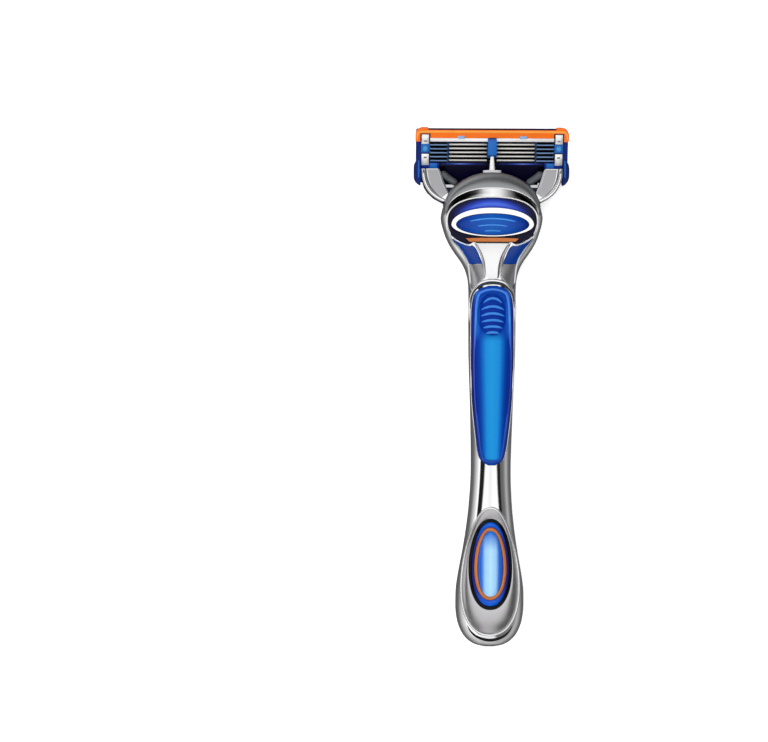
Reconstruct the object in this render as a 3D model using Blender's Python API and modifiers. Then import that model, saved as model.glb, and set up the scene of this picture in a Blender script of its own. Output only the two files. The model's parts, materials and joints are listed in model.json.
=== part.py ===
"""Cartridge razor: chrome handle with blue grips, release button and a pivoting five-blade cartridge.

Frame: +Y runs along the handle towards the cartridge, +Z points out of the thumb side, and X is the
width. The origin is in the middle of the bottom of the razor's box. Every dimension is in
millimetres, times MM.
"""

import math

import bmesh
import bpy
from mathutils import Matrix, Vector

MM = 0.001

# Whole razor
FIT = 0.12            # gap round a piece set into its neighbour
SECTION_POINTS = 32

# Handle, as (y, value) stations from the butt to the head
HALF_WIDTH = ((-71.0, 1.7), (-70.5, 3.8), (-69.6, 5.5), (-68.0, 7.1), (-66.0, 8.2), (-64.0, 8.85),
              (-61.0, 9.3), (-58.0, 9.35), (-55.0, 9.25), (-51.0, 8.7), (-45.0, 7.6), (-38.5, 6.6),
              (-32.0, 5.9), (-23.0, 5.45), (-9.0, 5.7), (0.0, 6.0), (8.0, 6.3), (16.0, 6.4),
              (24.0, 6.4), (28.5, 6.55), (31.5, 7.2), (34.0, 8.4), (36.5, 10.15), (39.0, 11.7),
              (42.0, 12.95), (46.0, 13.9), (49.0, 13.4))
TOP_Z = ((-71.0, 6.6), (-70.5, 7.6), (-69.6, 8.3), (-68.0, 9.3), (-64.0, 10.6), (-58.0, 11.5),
         (-51.0, 12.0), (-38.5, 12.4), (-32.0, 13.0), (-23.0, 14.4), (-9.0, 17.0), (0.0, 18.0),
         (16.0, 18.6), (24.0, 18.0), (31.5, 16.6), (36.5, 15.4), (42.0, 14.6), (49.0, 13.9))
BOTTOM_Z = ((-71.0, 4.6), (-70.5, 3.6), (-69.6, 2.8), (-68.0, 1.6), (-64.0, 0.3), (-60.0, -0.3),
            (-50.0, -0.3), (-45.0, 0.4), (-38.5, 1.6), (-32.0, 2.9), (-23.0, 4.5), (-9.0, 5.8),
            (0.0, 6.2), (16.0, 6.7), (28.0, 7.2), (33.0, 6.9), (38.5, 5.6), (42.0, 4.0),
            (46.0, 2.6), (49.0, 2.0))
SQUARENESS = ((-71.0, 2.2), (-50.0, 2.5), (-20.0, 2.3), (24.0, 2.3), (36.0, 2.9), (49.0, 3.6))

# Window in the neck, half width by y
WINDOW = ((29.4, 1.2), (29.7, 1.6), (30.8, 1.8), (32.4, 1.9), (34.1, 2.15), (35.8, 2.65),
          (37.2, 3.3), (38.7, 4.2), (39.6, 4.9))
NECK_OUTER = ((30.0, 6.0), (32.0, 6.25), (33.6, 6.6), (35.1, 7.15), (37.2, 8.4), (39.3, 9.8))

# Grips
GRIP_HALF_WIDTH = ((-20.9, 0.9), (-20.3, 2.2), (-18.5, 3.4), (-14.5, 4.15), (-3.5, 5.3),
                   (8.0, 5.7), (19.0, 5.75), (24.0, 5.3), (26.2, 4.1), (27.1, 2.4), (27.4, 1.0))
REAR_GRIP_HALF_WIDTH = ((-24.0, 0.9), (-23.2, 2.4), (-20.0, 3.8), (-5.0, 4.7), (18.0, 4.9),
                        (26.0, 4.2), (28.4, 2.6), (29.2, 1.0))
GRIP_DEPTH = 3.3
GRIP_PROUD = 0.25
PAD_CENTRE_Y = 19.6
PAD_LENGTH = 11.4
PAD_HALF_WIDTH = 3.8
PAD_RIBS = 6

# Butt trim, each teardrop as (half width, top, bottom) about the trim's middle
BUTT_CENTRE_Y = -50.0
BUTT_PLANE_Z = 12.1
BUTT_DEPTH = -3.9     # floor of the recess below the local plane
BEZEL = (7.6, 17.0, -17.2)
INLAY = (6.0, 14.4, -10.6)
RING = (4.45, 12.0, -7.9)
RING_HOLE = (3.6, 11.1, -7.05)
LENS = (3.43, 10.85, -6.85)

# Head
P_Y = 59.1            # pivot axis of the cartridge
TILT = math.radians(18.0)
GUARD_FACE = 5.25     # guard's face below the pivot axis, square to the face
GUARD_EDGE = 3.3      # guard's edge below the pivot axis, along the face
P_Z = GUARD_EDGE * math.sin(TILT) + GUARD_FACE * math.cos(TILT)
PIN_R = 1.05
BORE_R = 1.2
LOBE_R = 3.7
LOBE_INNER_X = 19.4
LOBE_OUTER_X = 21.5
LOBE_TAPER = (6.3, 2.1)   # cone that chamfers the lobe, inner then outer radius
CAM_ARM = 4.5         # plunger axis above the pivot axis
CAM_REACH = 3.9       # cam contact ahead of the pivot axis, at rest
BASE_REAR_Y = 49.4
BASE_FRONT_Y = 54.7
BASE_TOP_Z = 7.95
DECK_Z = 12.2         # top of the docking housing
TRACK_THICK = 0.6
CHANNEL_Z = (6.8, 9.7)
PLUNGER_Z = P_Z + CAM_ARM
CHAMBER_R = 1.3
DOME_HALF_WIDTH = ((49.1, 12.7), (50.0, 12.6), (51.5, 12.2), (53.0, 11.5), (54.4, 10.6),
                   (55.6, 9.2), (56.6, 7.5), (57.4, 5.7), (58.0, 3.8), (58.4, 2.3))
DOME_TOP = ((49.1, 12.85), (51.2, 12.9), (52.5, 12.95), (53.6, 13.45), (54.8, 13.7), (56.2, 13.3),
            (57.4, 12.6), (58.0, 12.0), (58.4, 11.5))
DOME_RINGS = (49.1, 50.0, 51.2, 52.5, 53.6, 54.6, 55.5, 56.3, 57.0, 57.6, 58.1, 58.4)
DOME_BOTTOM_Z = 8.3
WING_TOP = ((59.6, 10.35), (54.0, 11.25))     # the wings' sloping top, as (y, z)
PANEL_THICK = 0.5

# Release button
CAP_CENTRE = (0.0, 44.3)
CAP_HALF = (9.95, 2.95)
RING_CENTRE = (0.0, 44.8)
RING_HALF = (11.1, 3.95)
BUTTON_Z = DECK_Z + TRACK_THICK + 0.3         # underside of the button

# Cartridge housing, in its own frame (x, u, w)
HOUSING_HALF_X = 20.9
HOUSING_CORNER_R = 1.1
FACE_W = -4.9
BACK_W = 1.5
WINDOW_HALF_X = 16.95
FRONT_WINDOW_U = (2.15, 8.2)
REAR_WINDOW_U = (2.95, 8.6)

# Blades
BLADES = 5
BLADE_PITCH = 1.1
FIRST_EDGE_U = 2.35
BLADE_HALF_LENGTH = 17.8
SUPPORT_HALF_LENGTH = 16.7

COLOURS = {           # base colour, roughness, metallic
    "chrome": ((0.78, 0.79, 0.80), 0.12, 1.0),
    "satin": ((0.52, 0.53, 0.55), 0.35, 1.0),
    "steel": ((0.72, 0.73, 0.74), 0.25, 1.0),
    "aluminium": ((0.85, 0.86, 0.87), 0.30, 1.0),
    "blue_rubber": ((0.02, 0.16, 0.62), 0.55, 0.0),
    "blue_gloss": ((0.01, 0.09, 0.55), 0.15, 0.0),
    "navy": ((0.012, 0.02, 0.075), 0.35, 0.0),
    "orange": ((0.95, 0.30, 0.03), 0.35, 0.0),
    "white": ((0.90, 0.90, 0.88), 0.40, 0.0),
    "light_grey": ((0.62, 0.63, 0.64), 0.45, 0.0),
    "pale_blue": ((0.35, 0.62, 0.88), 0.35, 0.0),
}


def clear_scene():
    for item in list(bpy.data.objects):
        bpy.data.objects.remove(item)


def new_collection(name):
    collection = bpy.data.collections.new(name)
    bpy.context.scene.collection.children.link(collection)
    return collection


clear_scene()
PARTS = new_collection("cartridge_razor")
CUTTERS = new_collection("cutters")


def material(name, finish):
    """Each piece has its own Principled material."""
    colour, roughness, metallic = COLOURS[finish]
    made = bpy.data.materials.new(name + "_" + finish)
    made.use_nodes = True
    shader = made.node_tree.nodes["Principled BSDF"]
    shader.inputs["Base Color"].default_value = (*colour, 1.0)
    shader.inputs["Roughness"].default_value = roughness
    shader.inputs["Metallic"].default_value = metallic
    return made


def scaled(points):
    return [Vector(point) * MM for point in points]


def smooth(stations, y):
    """Value at y on a smooth curve through (y, value) stations."""
    last = len(stations) - 1
    k = 0
    while k < last - 1 and y > stations[k + 1][0]:
        k += 1

    def slope(i):
        lo = stations[max(i - 1, 0)]
        hi = stations[min(i + 1, last)]
        return (hi[1] - lo[1]) / (hi[0] - lo[0])

    (y0, v0), (y1, v1) = stations[k], stations[k + 1]
    span = y1 - y0
    t = min(max((y - y0) / span, 0.0), 1.0)
    rise = t * t * (3.0 - 2.0 * t)
    ease_in = t * (1.0 - t) ** 2 * span * slope(k)
    ease_out = t * t * (t - 1.0) * span * slope(k + 1)
    return v0 + (v1 - v0) * rise + ease_in + ease_out


def spread(start, end, count):
    return [start + (end - start) * i / (count - 1) for i in range(count)]


def finish_object(item, finish, parent=None, soft=False):
    """Put a new piece among the parts, with its material; soft pieces shade smooth."""
    for holder in list(item.users_collection):
        holder.objects.unlink(item)
    PARTS.objects.link(item)
    item.data.materials.clear()
    item.data.materials.append(material(item.name, finish))
    item.parent = parent
    if soft:
        item.data.shade_smooth()
        item.data.set_sharp_from_angle(angle=math.radians(35.0))
    return item


def as_cutter(item, parent=None):
    for holder in list(item.users_collection):
        holder.objects.unlink(item)
    CUTTERS.objects.link(item)
    item.parent = parent
    item.hide_render = True
    item.display_type = 'WIRE'
    return item


def join_or_cut(item, tool, operation='DIFFERENCE'):
    boolean = item.modifiers.new(operation.lower(), 'BOOLEAN')
    boolean.operation = operation
    boolean.solver = 'EXACT'
    boolean.object = tool
    return item


def bevel(item, width, segments=2, angle=30.0):
    edge = item.modifiers.new("bevel", 'BEVEL')
    edge.width = width * MM
    edge.segments = segments
    edge.limit_method = 'ANGLE'
    edge.angle_limit = math.radians(angle)
    return item


def from_bmesh(name, bm):
    bmesh.ops.recalc_face_normals(bm, faces=bm.faces)
    if bm.calc_volume(signed=True) < 0.0:
        bmesh.ops.reverse_faces(bm, faces=bm.faces)
    mesh = bpy.data.meshes.new(name)
    bm.to_mesh(mesh)
    bm.free()
    item = bpy.data.objects.new(name, mesh)
    bpy.context.scene.collection.objects.link(item)
    return item


def box(name, low, high):
    """Box between two corners."""
    bm = bmesh.new()
    bmesh.ops.create_cube(bm, size=1.0)
    low, high = scaled([low, high])
    for vertex in bm.verts:
        for axis in range(3):
            vertex.co[axis] = low[axis] if vertex.co[axis] < 0.0 else high[axis]
    return from_bmesh(name, bm)


def rod(name, start, end, radius, end_radius=None, segments=24):
    """Cylinder or cone from start to end."""
    start, end = scaled([start, end])
    bm = bmesh.new()
    tip = radius if end_radius is None else end_radius
    bmesh.ops.create_cone(bm, cap_ends=True, segments=segments, radius1=radius * MM,
                          radius2=tip * MM, depth=(end - start).length)
    turn = Vector((0.0, 0.0, 1.0)).rotation_difference(end - start).to_matrix().to_4x4()
    bm.transform(Matrix.Translation((start + end) / 2.0) @ turn)
    return from_bmesh(name, bm)


def plan(z):
    """Places an outline drawn in X and Y at height z."""
    return Matrix.Translation((0.0, 0.0, z * MM))


def side(x):
    """Places an outline drawn in Y and Z at width x."""
    turn = Matrix(((0.0, 0.0, 1.0, 0.0), (1.0, 0.0, 0.0, 0.0), (0.0, 1.0, 0.0, 0.0),
                   (0.0, 0.0, 0.0, 1.0)))
    return Matrix.Translation((x * MM, 0.0, 0.0)) @ turn


def slab(name, outline, thickness, place, holes=()):
    """Flat outline, given thickness either side of its plane, as a mesh."""
    curve = bpy.data.curves.new(name, 'CURVE')
    curve.dimensions = '2D'
    curve.fill_mode = 'BOTH'
    curve.extrude = thickness / 2.0 * MM
    for loop in (outline, *holes):
        spline = curve.splines.new('POLY')
        spline.points.add(len(loop) - 1)
        for point, (x, y) in zip(spline.points, loop):
            point.co = (x * MM, y * MM, 0.0, 1.0)
        spline.use_cyclic_u = True
    drawn = bpy.data.objects.new(name, curve)
    bpy.context.scene.collection.objects.link(drawn)
    view = bpy.context.evaluated_depsgraph_get()
    mesh = bpy.data.meshes.new_from_object(drawn.evaluated_get(view))
    bpy.data.objects.remove(drawn)
    bpy.data.curves.remove(curve)
    bm = bmesh.new()
    bm.from_mesh(mesh)
    bpy.data.meshes.remove(mesh)
    bmesh.ops.remove_doubles(bm, verts=bm.verts, dist=0.002 * MM)
    bm.transform(place)
    return from_bmesh(name, bm)


def loft(name, rings):
    """Closed skin over rings that all have the same number of points."""
    bm = bmesh.new()
    rows = [[bm.verts.new(point) for point in scaled(ring)] for ring in rings]
    count = len(rows[0])
    for row, following in zip(rows, rows[1:]):
        for i in range(count):
            j = (i + 1) % count
            bm.faces.new((row[i], row[j], following[j], following[i]))
    bm.faces.new(rows[0])
    bm.faces.new(list(reversed(rows[-1])))
    return from_bmesh(name, bm)


def mirrored(points):
    """Closed outline from its right half, which runs from one point on the axis to another."""
    left = [(-x, y) for x, y in reversed(points) if abs(x) > 1e-6]
    return list(points) + left


def arc(centre, radius, start, end, count):
    """Points on an arc, from start to end degrees."""
    return [(centre[0] + radius * math.cos(math.radians(a)),
             centre[1] + radius * math.sin(math.radians(a))) for a in spread(start, end, count)]


def ellipse(centre, half_x, half_y, count):
    return [(centre[0] + half_x * math.cos(2.0 * math.pi * i / count),
             centre[1] + half_y * math.sin(2.0 * math.pi * i / count)) for i in range(count)]


def helix(name, start, end, radius, wire, turns, parent=None):
    """Coil spring along Y."""
    steps = turns * 10
    curve = bpy.data.curves.new(name, 'CURVE')
    curve.dimensions = '3D'
    curve.bevel_depth = wire * MM
    curve.bevel_resolution = 1
    curve.use_fill_caps = True
    spline = curve.splines.new('POLY')
    spline.points.add(steps)
    for i, point in enumerate(spline.points):
        angle = 2.0 * math.pi * turns * i / steps
        along = start[1] + (end[1] - start[1]) * i / steps
        point.co = ((start[0] + radius * math.cos(angle)) * MM, along * MM,
                    (start[2] + radius * math.sin(angle)) * MM, 1.0)
    item = bpy.data.objects.new(name, curve)
    bpy.context.scene.collection.objects.link(item)
    return finish_object(item, "steel", parent)


def empty(name, place):
    item = bpy.data.objects.new(name, None)
    PARTS.objects.link(item)
    item.matrix_world = place
    return item


# ---------------------------------------------------------------- handle

def handle_surface(x, y, top=True):
    """Height of the handle's skin at x and y."""
    half = smooth(HALF_WIDTH, y)
    high, low = smooth(TOP_Z, y), smooth(BOTTOM_Z, y)
    power = smooth(SQUARENESS, y)
    share = min(abs(x) / half, 1.0)
    rise = (high - low) / 2.0 * (1.0 - share ** power) ** (1.0 / power)
    return (high + low) / 2.0 + (rise if top else -rise)


def handle_ring(y):
    """Rounded section of the handle at y."""
    half = smooth(HALF_WIDTH, y)
    high, low = smooth(TOP_Z, y), smooth(BOTTOM_Z, y)
    power = 2.0 / smooth(SQUARENESS, y)
    ring = []
    for i in range(SECTION_POINTS):
        angle = 2.0 * math.pi * (i + 0.5) / SECTION_POINTS
        cos, sin = math.cos(angle), math.sin(angle)
        x = half * math.copysign(abs(cos) ** power, cos)
        z = (high + low) / 2.0 + (high - low) / 2.0 * math.copysign(abs(sin) ** power, sin)
        ring.append((x, y, z))
    return ring


def window_outline():
    return mirrored([(half, y) for y, half in WINDOW])


def track_outline(grow=0.0):
    """Field under the release button: rounded towards the head, open to the neck window."""
    right = [(5.3, 39.4 - grow), (6.3, 38.9 - grow), (8.7 + grow, 39.7 - grow),
             (10.5 + grow, 40.8 - grow), (11.6 + grow, 42.6), (12.05 + grow, 44.6),
             (11.9 + grow, 46.8), (10.9 + grow, 48.9 + grow), (9.2 + grow, 50.1 + grow),
             (7.2, 50.9 + grow), (4.4, 51.5 + grow), (2.0, 51.7 + grow)]
    return mirrored(right)


def grip_rings(stations, top, grow=0.0, depth=GRIP_DEPTH, proud=GRIP_PROUD, steps=26):
    """Sections of a grip let into the handle's upper (top) or lower skin."""
    sign = 1.0 if top else -1.0
    rings = []
    ends = (stations[0][0] - grow, stations[-1][0] + grow)
    inner = [y for y in spread(stations[0][0], stations[-1][0], steps)][1:-1]
    fine = [ends[0]] + [stations[0][0] + 0.35] + inner + [stations[-1][0] - 0.3] + [ends[1]]
    for y in fine:
        half = smooth(stations, min(max(y, stations[0][0]), stations[-1][0])) + grow
        crown = handle_surface(0.0, y, top)
        floor = crown - sign * (depth + grow)
        ring = []
        for x in spread(-half, half, 13):
            lift = proud + (3.0 if grow > 0.0 else 0.0)
            skin = handle_surface(x, y, top) + sign * lift
            if sign * (skin - floor) < 0.4:
                skin = floor + sign * 0.4
            ring.append((x, y, skin))
        for x in spread(half, -half, 5):
            ring.append((x, y, floor))
        rings.append(ring)
    return rings


def make_handle_frame():
    ys = [-71.0, -70.75, -70.4, -69.7, -68.7, -67.4, -65.8, -64.0, -62.0]
    ys += spread(-59.5, 24.0, 26) + spread(26.5, 49.0, 12)
    item = loft("handle_frame", [handle_ring(y) for y in ys])
    foot = as_cutter(box("cut_foot", (-20.0, -75.0, -5.0), (20.0, -40.0, 0.0)))
    join_or_cut(item, foot)
    join_or_cut(item, as_cutter(slab("cut_window", window_outline(), 40.0, plan(10.0))))
    front = as_cutter(loft("cut_front_grip", grip_rings(GRIP_HALF_WIDTH, True, FIT)))
    rear = as_cutter(loft("cut_rear_grip", grip_rings(REAR_GRIP_HALF_WIDTH, False, FIT, 2.2)))
    join_or_cut(item, front)
    join_or_cut(item, rear)
    join_or_cut(item, as_cutter(slab("cut_butt", butt_outline(BEZEL, FIT), 6.0,
                                     butt_place(BUTT_DEPTH + 3.0 - FIT))))
    track = as_cutter(slab("cut_track", track_outline(FIT), 8.0, plan(DECK_Z + 0.02 + 4.0)))
    join_or_cut(item, track)
    join_or_cut(item, as_cutter(box("cut_bay", (-11.3, 41.0, 7.1), (11.3, 52.0, 22.0))))
    join_or_cut(item, as_cutter(box("cut_bay_rear", (-10.05, 41.0, 5.5), (10.05, 46.2, 8.0))))
    join_or_cut(item, as_cutter(box("cut_bay_front", (-10.05, 45.7, 3.9), (10.05, 52.0, 8.0))))
    for sign, hand in ((-1.0, "left"), (1.0, "right")):
        join_or_cut(item, as_cutter(slab("cut_neck_inlay_" + hand, neck_outline(sign, FIT), 3.0,
                                         neck_place(1.5 - FIT))))
    return finish_object(item, "chrome", None, True)


def make_grips():
    front = loft("front_grip", grip_rings(GRIP_HALF_WIDTH, True))
    rings = pad_rings(FIT, 6.0)
    join_or_cut(front, as_cutter(loft("cut_thumb_pad", rings)))
    finish_object(front, "blue_rubber", None, True)
    rear = loft("rear_grip", grip_rings(REAR_GRIP_HALF_WIDTH, False, 0.0, 2.2))
    finish_object(rear, "blue_rubber", None, True)
    pad = loft("thumb_pad", pad_rings())
    for i in range(PAD_RIBS):
        y = PAD_CENTRE_Y + (i - (PAD_RIBS - 1) / 2.0) * 1.72
        half = PAD_HALF_WIDTH * math.sqrt(1.0 - ((y - PAD_CENTRE_Y) / (PAD_LENGTH / 2.0)) ** 2) - 0.6
        sag = 0.5
        upper = [(x, y + 0.3 - sag * (x / PAD_HALF_WIDTH) ** 2) for x in spread(-half, half, 7)]
        lower = [(x, y - 0.3 - sag * (x / PAD_HALF_WIDTH) ** 2) for x in spread(half, -half, 7)]
        top = handle_surface(0.0, y) + GRIP_PROUD
        rib = as_cutter(slab("rib_%d" % (i + 1), upper + lower, 1.3, plan(top - 0.7)))
        join_or_cut(pad, rib, 'UNION')
    finish_object(pad, "blue_gloss", None, True)


def pad_rings(grow=0.0, lift=-0.25):
    """Oval pad set in the front grip."""
    rings = []
    half_length = PAD_LENGTH / 2.0 + grow
    for share in (-1.0, -0.97, -0.9, -0.75, -0.5, -0.2, 0.2, 0.5, 0.75, 0.9, 0.97, 1.0):
        y = PAD_CENTRE_Y + share * half_length
        half = (PAD_HALF_WIDTH + grow) * math.sqrt(max(1.0 - share * share, 0.02))
        floor = handle_surface(0.0, y) - 2.0 - grow
        ring = [(x, y, handle_surface(x, y) + lift - 0.35 * (1.0 - (x / half) ** 2))
                for x in spread(-half, half, 9)]
        ring += [(x, y, floor) for x in spread(half, -half, 3)]
        rings.append(ring)
    return rings


def butt_place(z):
    """Local plane of the butt trim, with its centre on the handle's upper skin."""
    slope = math.atan2(handle_surface(0.0, -38.0) - handle_surface(0.0, -62.0), 24.0)
    turn = Matrix.Rotation(slope, 4, 'X')
    origin = Matrix.Translation((0.0, BUTT_CENTRE_Y * MM, BUTT_PLANE_Z * MM))
    return origin @ turn @ Matrix.Translation((0.0, 0.0, z * MM))


def butt_outline(size, grow=0.0):
    """Teardrop: wide near the butt and narrowing towards the grip."""
    half_width, top, bottom = size
    count = 20
    points = []
    for i in range(count + 1):
        turn = math.pi * i / count
        along = 0.5 - 0.5 * math.cos(turn)
        y = bottom - grow + (top - bottom + 2.0 * grow) * along
        swell = math.sin(turn) ** 0.9 * (1.0 - 0.42 * along)
        points.append((half_width * 1.16 * max(swell, 0.0) + grow * math.sin(turn), y))
    points[0] = (0.0, points[0][1])
    points[-1] = (0.0, points[-1][1])
    return mirrored(points)


def make_butt_trim():
    floor = BUTT_DEPTH + 0.05
    bezel = slab("butt_bezel", butt_outline(BEZEL), 2.0, butt_place(floor + 1.0),
                 [list(reversed(butt_outline(INLAY, FIT)))])
    finish_object(bezel, "satin")
    inlay = slab("butt_inlay", butt_outline(INLAY), 1.6, butt_place(floor + 0.8),
                 [list(reversed(butt_outline(RING, FIT)))])
    finish_object(inlay, "navy")
    ring = slab("butt_ring", butt_outline(RING), 1.75, butt_place(floor + 0.875),
                [list(reversed(butt_outline(RING_HOLE)))])
    finish_object(ring, "orange")
    lens = slab("butt_lens", butt_outline(LENS), 1.3, butt_place(floor + 0.65))
    bevel(lens, 0.35, 2)
    finish_object(lens, "pale_blue", None, True)


def neck_outline(sign, grow=0.0):
    """Inlay on one neck arm, beside the window."""
    outer, inner = [], []
    for y in spread(33.4 - grow, 38.2 + grow, 7):
        outer.append((sign * (smooth(NECK_OUTER, y) + grow), y))
        inner.append((sign * (smooth(WINDOW, y) + 0.8 - grow), y))
    return outer + list(reversed(inner))


def neck_place(z):
    """Sloping plane just under the neck's upper skin."""
    slope = math.atan2(handle_surface(0.0, 39.0) - handle_surface(0.0, 31.0), 8.0)
    turn = Matrix.Rotation(slope, 4, 'X')
    height = handle_surface(smooth(HALF_WIDTH, 35.0) * 0.80, 35.0) - 0.7
    return Matrix.Translation((0.0, 35.0 * MM, height * MM)) @ turn @ \
        Matrix.Translation((0.0, -35.0 * MM, z * MM))


def make_neck_inlays():
    for sign, hand in ((-1.0, "left"), (1.0, "right")):
        inlay = slab("neck_inlay_" + hand, neck_outline(sign), 1.0, neck_place(0.5))
        bevel(inlay, 0.15, 1)
        finish_object(inlay, "blue_gloss")


# ---------------------------------------------------------------- docking and button

def make_dock_housing():
    body = box("dock_housing", (-11.15, 41.15, 7.25), (11.15, 48.8, DECK_Z))
    for name, low, high in (("add_dock_floor", (-9.9, 41.15, 5.65), (9.9, 48.8, 7.5)),
                            ("add_dock_front", (-9.9, 46.35, 4.05), (9.9, 48.8, 5.8)),
                            ("add_tongue", (-5.8, 48.0, 4.05), (5.8, 52.9, 6.4))):
        join_or_cut(body, as_cutter(box(name, low, high)), 'UNION')
    join_or_cut(body, as_cutter(box("cut_channel", (-9.3, 41.6, CHANNEL_Z[0]),
                                    (9.3, 48.1, CHANNEL_Z[1]))))
    join_or_cut(body, as_cutter(box("cut_post_slot", (-2.8, 41.6, 9.0), (2.8, 48.1, 20.0))))
    for sign in (-1.0, 1.0):
        low = (min(sign * 7.45, sign * 9.15), 47.5, 6.9)
        high = (max(sign * 7.45, sign * 9.15), 50.0, 8.05)
        join_or_cut(body, as_cutter(box("cut_prong_exit", low, high)))
    return finish_object(body, "navy")


def make_hub_dome():
    rings = []
    for y in DOME_RINGS:
        half = smooth(DOME_HALF_WIDTH, y)
        top = smooth(DOME_TOP, y)
        low = DOME_BOTTOM_Z + 0.75 * max(0.0, (y - 55.0) / 3.4)
        ring = []
        for i in range(17):
            angle = math.pi * i / 16
            x = half * math.copysign(abs(math.cos(angle)) ** 0.72, math.cos(angle))
            ring.append((x, y, low + 0.5 + (top - low - 0.5) * math.sin(angle) ** 0.62))
        ring += [(-half * 0.96, y, low), (0.0, y, low), (half * 0.96, y, low)]
        rings.append(ring)
    dome = loft("hub_dome", rings)
    for sign in (-1.0, 1.0):
        wing = slab("add_wing", wing_outline(sign), 4.0, plan(10.0))
        join_or_cut(wing, as_cutter(slab("keep_wing", wing_profile(), 20.0, side(sign * 15.0))),
                    'INTERSECT')
        join_or_cut(dome, as_cutter(wing), 'UNION')
        join_or_cut(dome, as_cutter(slab("cut_wing_panel", panel_outline(sign, FIT), 1.2,
                                         panel_place(0.6 - PANEL_THICK - FIT))))
    join_or_cut(dome, as_cutter(slab("cut_dome_track", track_outline(FIT), 8.0,
                                     plan(DECK_Z + 0.02 + 4.0))))
    axis = PLUNGER_Z
    join_or_cut(dome, as_cutter(rod("cut_chamber", (0, 48.0, axis), (0, 56.8, axis), CHAMBER_R)))
    join_or_cut(dome, as_cutter(rod("cut_plunger_way", (0, 56.0, axis), (0, 60.0, axis), 0.95)))
    collar_cut = slab("cut_collar", collar_outline(FIT), 3.2, front_place(58.9))
    join_or_cut(dome, as_cutter(collar_cut))
    finish_object(dome, "chrome", None, True)
    for sign, hand in ((-1.0, "left"), (1.0, "right")):
        panel = slab("wing_panel_" + hand, panel_outline(sign), PANEL_THICK,
                     panel_place(-PANEL_THICK / 2.0))
        finish_object(panel, "satin")


def wing_outline(sign):
    """Plan of a wing, which backs one arm of the yoke."""
    points = [(12.9, 50.2), (15.8, 51.6), (17.7, 53.2), (18.7, 54.9), (19.1, 57.0), (19.2, 59.6),
              (14.3, 59.6), (13.5, 58.2), (12.8, 56.2), (11.6, 54.6), (9.6, 53.4), (9.6, 50.4)]
    return [(sign * x, y) for x, y in points]


def wing_profile():
    """Side view of a wing: its front slopes clear of the housing's sweep."""
    return [(49.0, 8.05), (58.7, 8.05), (58.7, 8.95), (59.6, 10.0), *WING_TOP, (51.5, 11.2),
            (49.0, 10.5)]


def panel_outline(sign, grow=0.0):
    """Plan of the satin panel let into a wing."""
    points = [(18.2 + grow, 59.3 + grow), (14.7 - grow, 59.3 + grow), (13.9 - grow, 58.1),
              (13.2 - grow, 56.2), (12.3 - grow, 54.9), (11.9 - grow, 53.9),
              (12.2 - grow, 52.8 - grow), (14.2, 53.1 - grow), (15.7 + grow, 53.9 - grow),
              (17.1 + grow, 55.2 - grow), (17.8 + grow, 56.9), (18.1 + grow, 58.4)]
    return [(sign * x, y) for x, y in points]


def panel_place(z):
    """Plane of the wings' top, z above it."""
    (front_y, front_z), (back_y, back_z) = WING_TOP
    turn = Matrix.Rotation(math.atan2(front_z - back_z, front_y - back_y), 4, 'X')
    return Matrix.Translation((0.0, front_y * MM, front_z * MM)) @ turn @ \
        Matrix.Translation((0.0, -front_y * MM, z * MM))


def front_place(y):
    """Places an outline drawn in X and Z square to the handle, at y."""
    turn = Matrix(((1.0, 0.0, 0.0, 0.0), (0.0, 0.0, -1.0, 0.0), (0.0, 1.0, 0.0, 0.0),
                   (0.0, 0.0, 0.0, 1.0)))
    return Matrix.Translation((0.0, y * MM, 0.0)) @ turn


def collar_outline(grow=0.0):
    """Stadium round the plunger."""
    r = 1.25 + grow
    reach = 1.25
    return arc((reach, PLUNGER_Z), r, -90.0, 90.0, 9) + arc((-reach, PLUNGER_Z), r, 90.0, 270.0, 9)


def make_plunger_group():
    axis = PLUNGER_Z
    collar = slab("plunger_collar", collar_outline(), 1.5, front_place(58.35))
    join_or_cut(collar, as_cutter(rod("cut_collar_bore", (0, 55, axis), (0, 62, axis), 0.9)))
    finish_object(collar, "light_grey")

    home = empty("plunger_axis", Matrix.Translation(Vector((0, 56.0, axis)) * MM))
    tip_y = P_Y + CAM_REACH - 0.1
    profile = ((0.0, tip_y), (0.40, tip_y), (0.46, tip_y - 0.1), (0.74, 59.4), (0.74, 56.7),
               (1.12, 56.7), (1.12, 55.9), (0.5, 55.9), (0.5, 52.2), (0.0, 52.2))
    bm = bmesh.new()
    chain = [bm.verts.new(Vector((r, y - 56.0, 0.0)) * MM) for r, y in profile]
    for first, second in zip(chain, chain[1:]):
        bm.edges.new((first, second))
    mesh = bpy.data.meshes.new("plunger")
    bm.to_mesh(mesh)
    bm.free()
    pin = bpy.data.objects.new("plunger", mesh)
    bpy.context.scene.collection.objects.link(pin)
    turned = pin.modifiers.new("turned", 'SCREW')
    turned.axis = 'Y'
    turned.steps = 20
    turned.render_steps = 20
    turned.use_merge_vertices = True
    turned.merge_threshold = 0.00001
    finish_object(pin, "white", home, True)
    helix("plunger_spring", (0.0, 49.05, axis), (0.0, 55.65, axis), 0.9, 0.14, 6)


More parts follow.
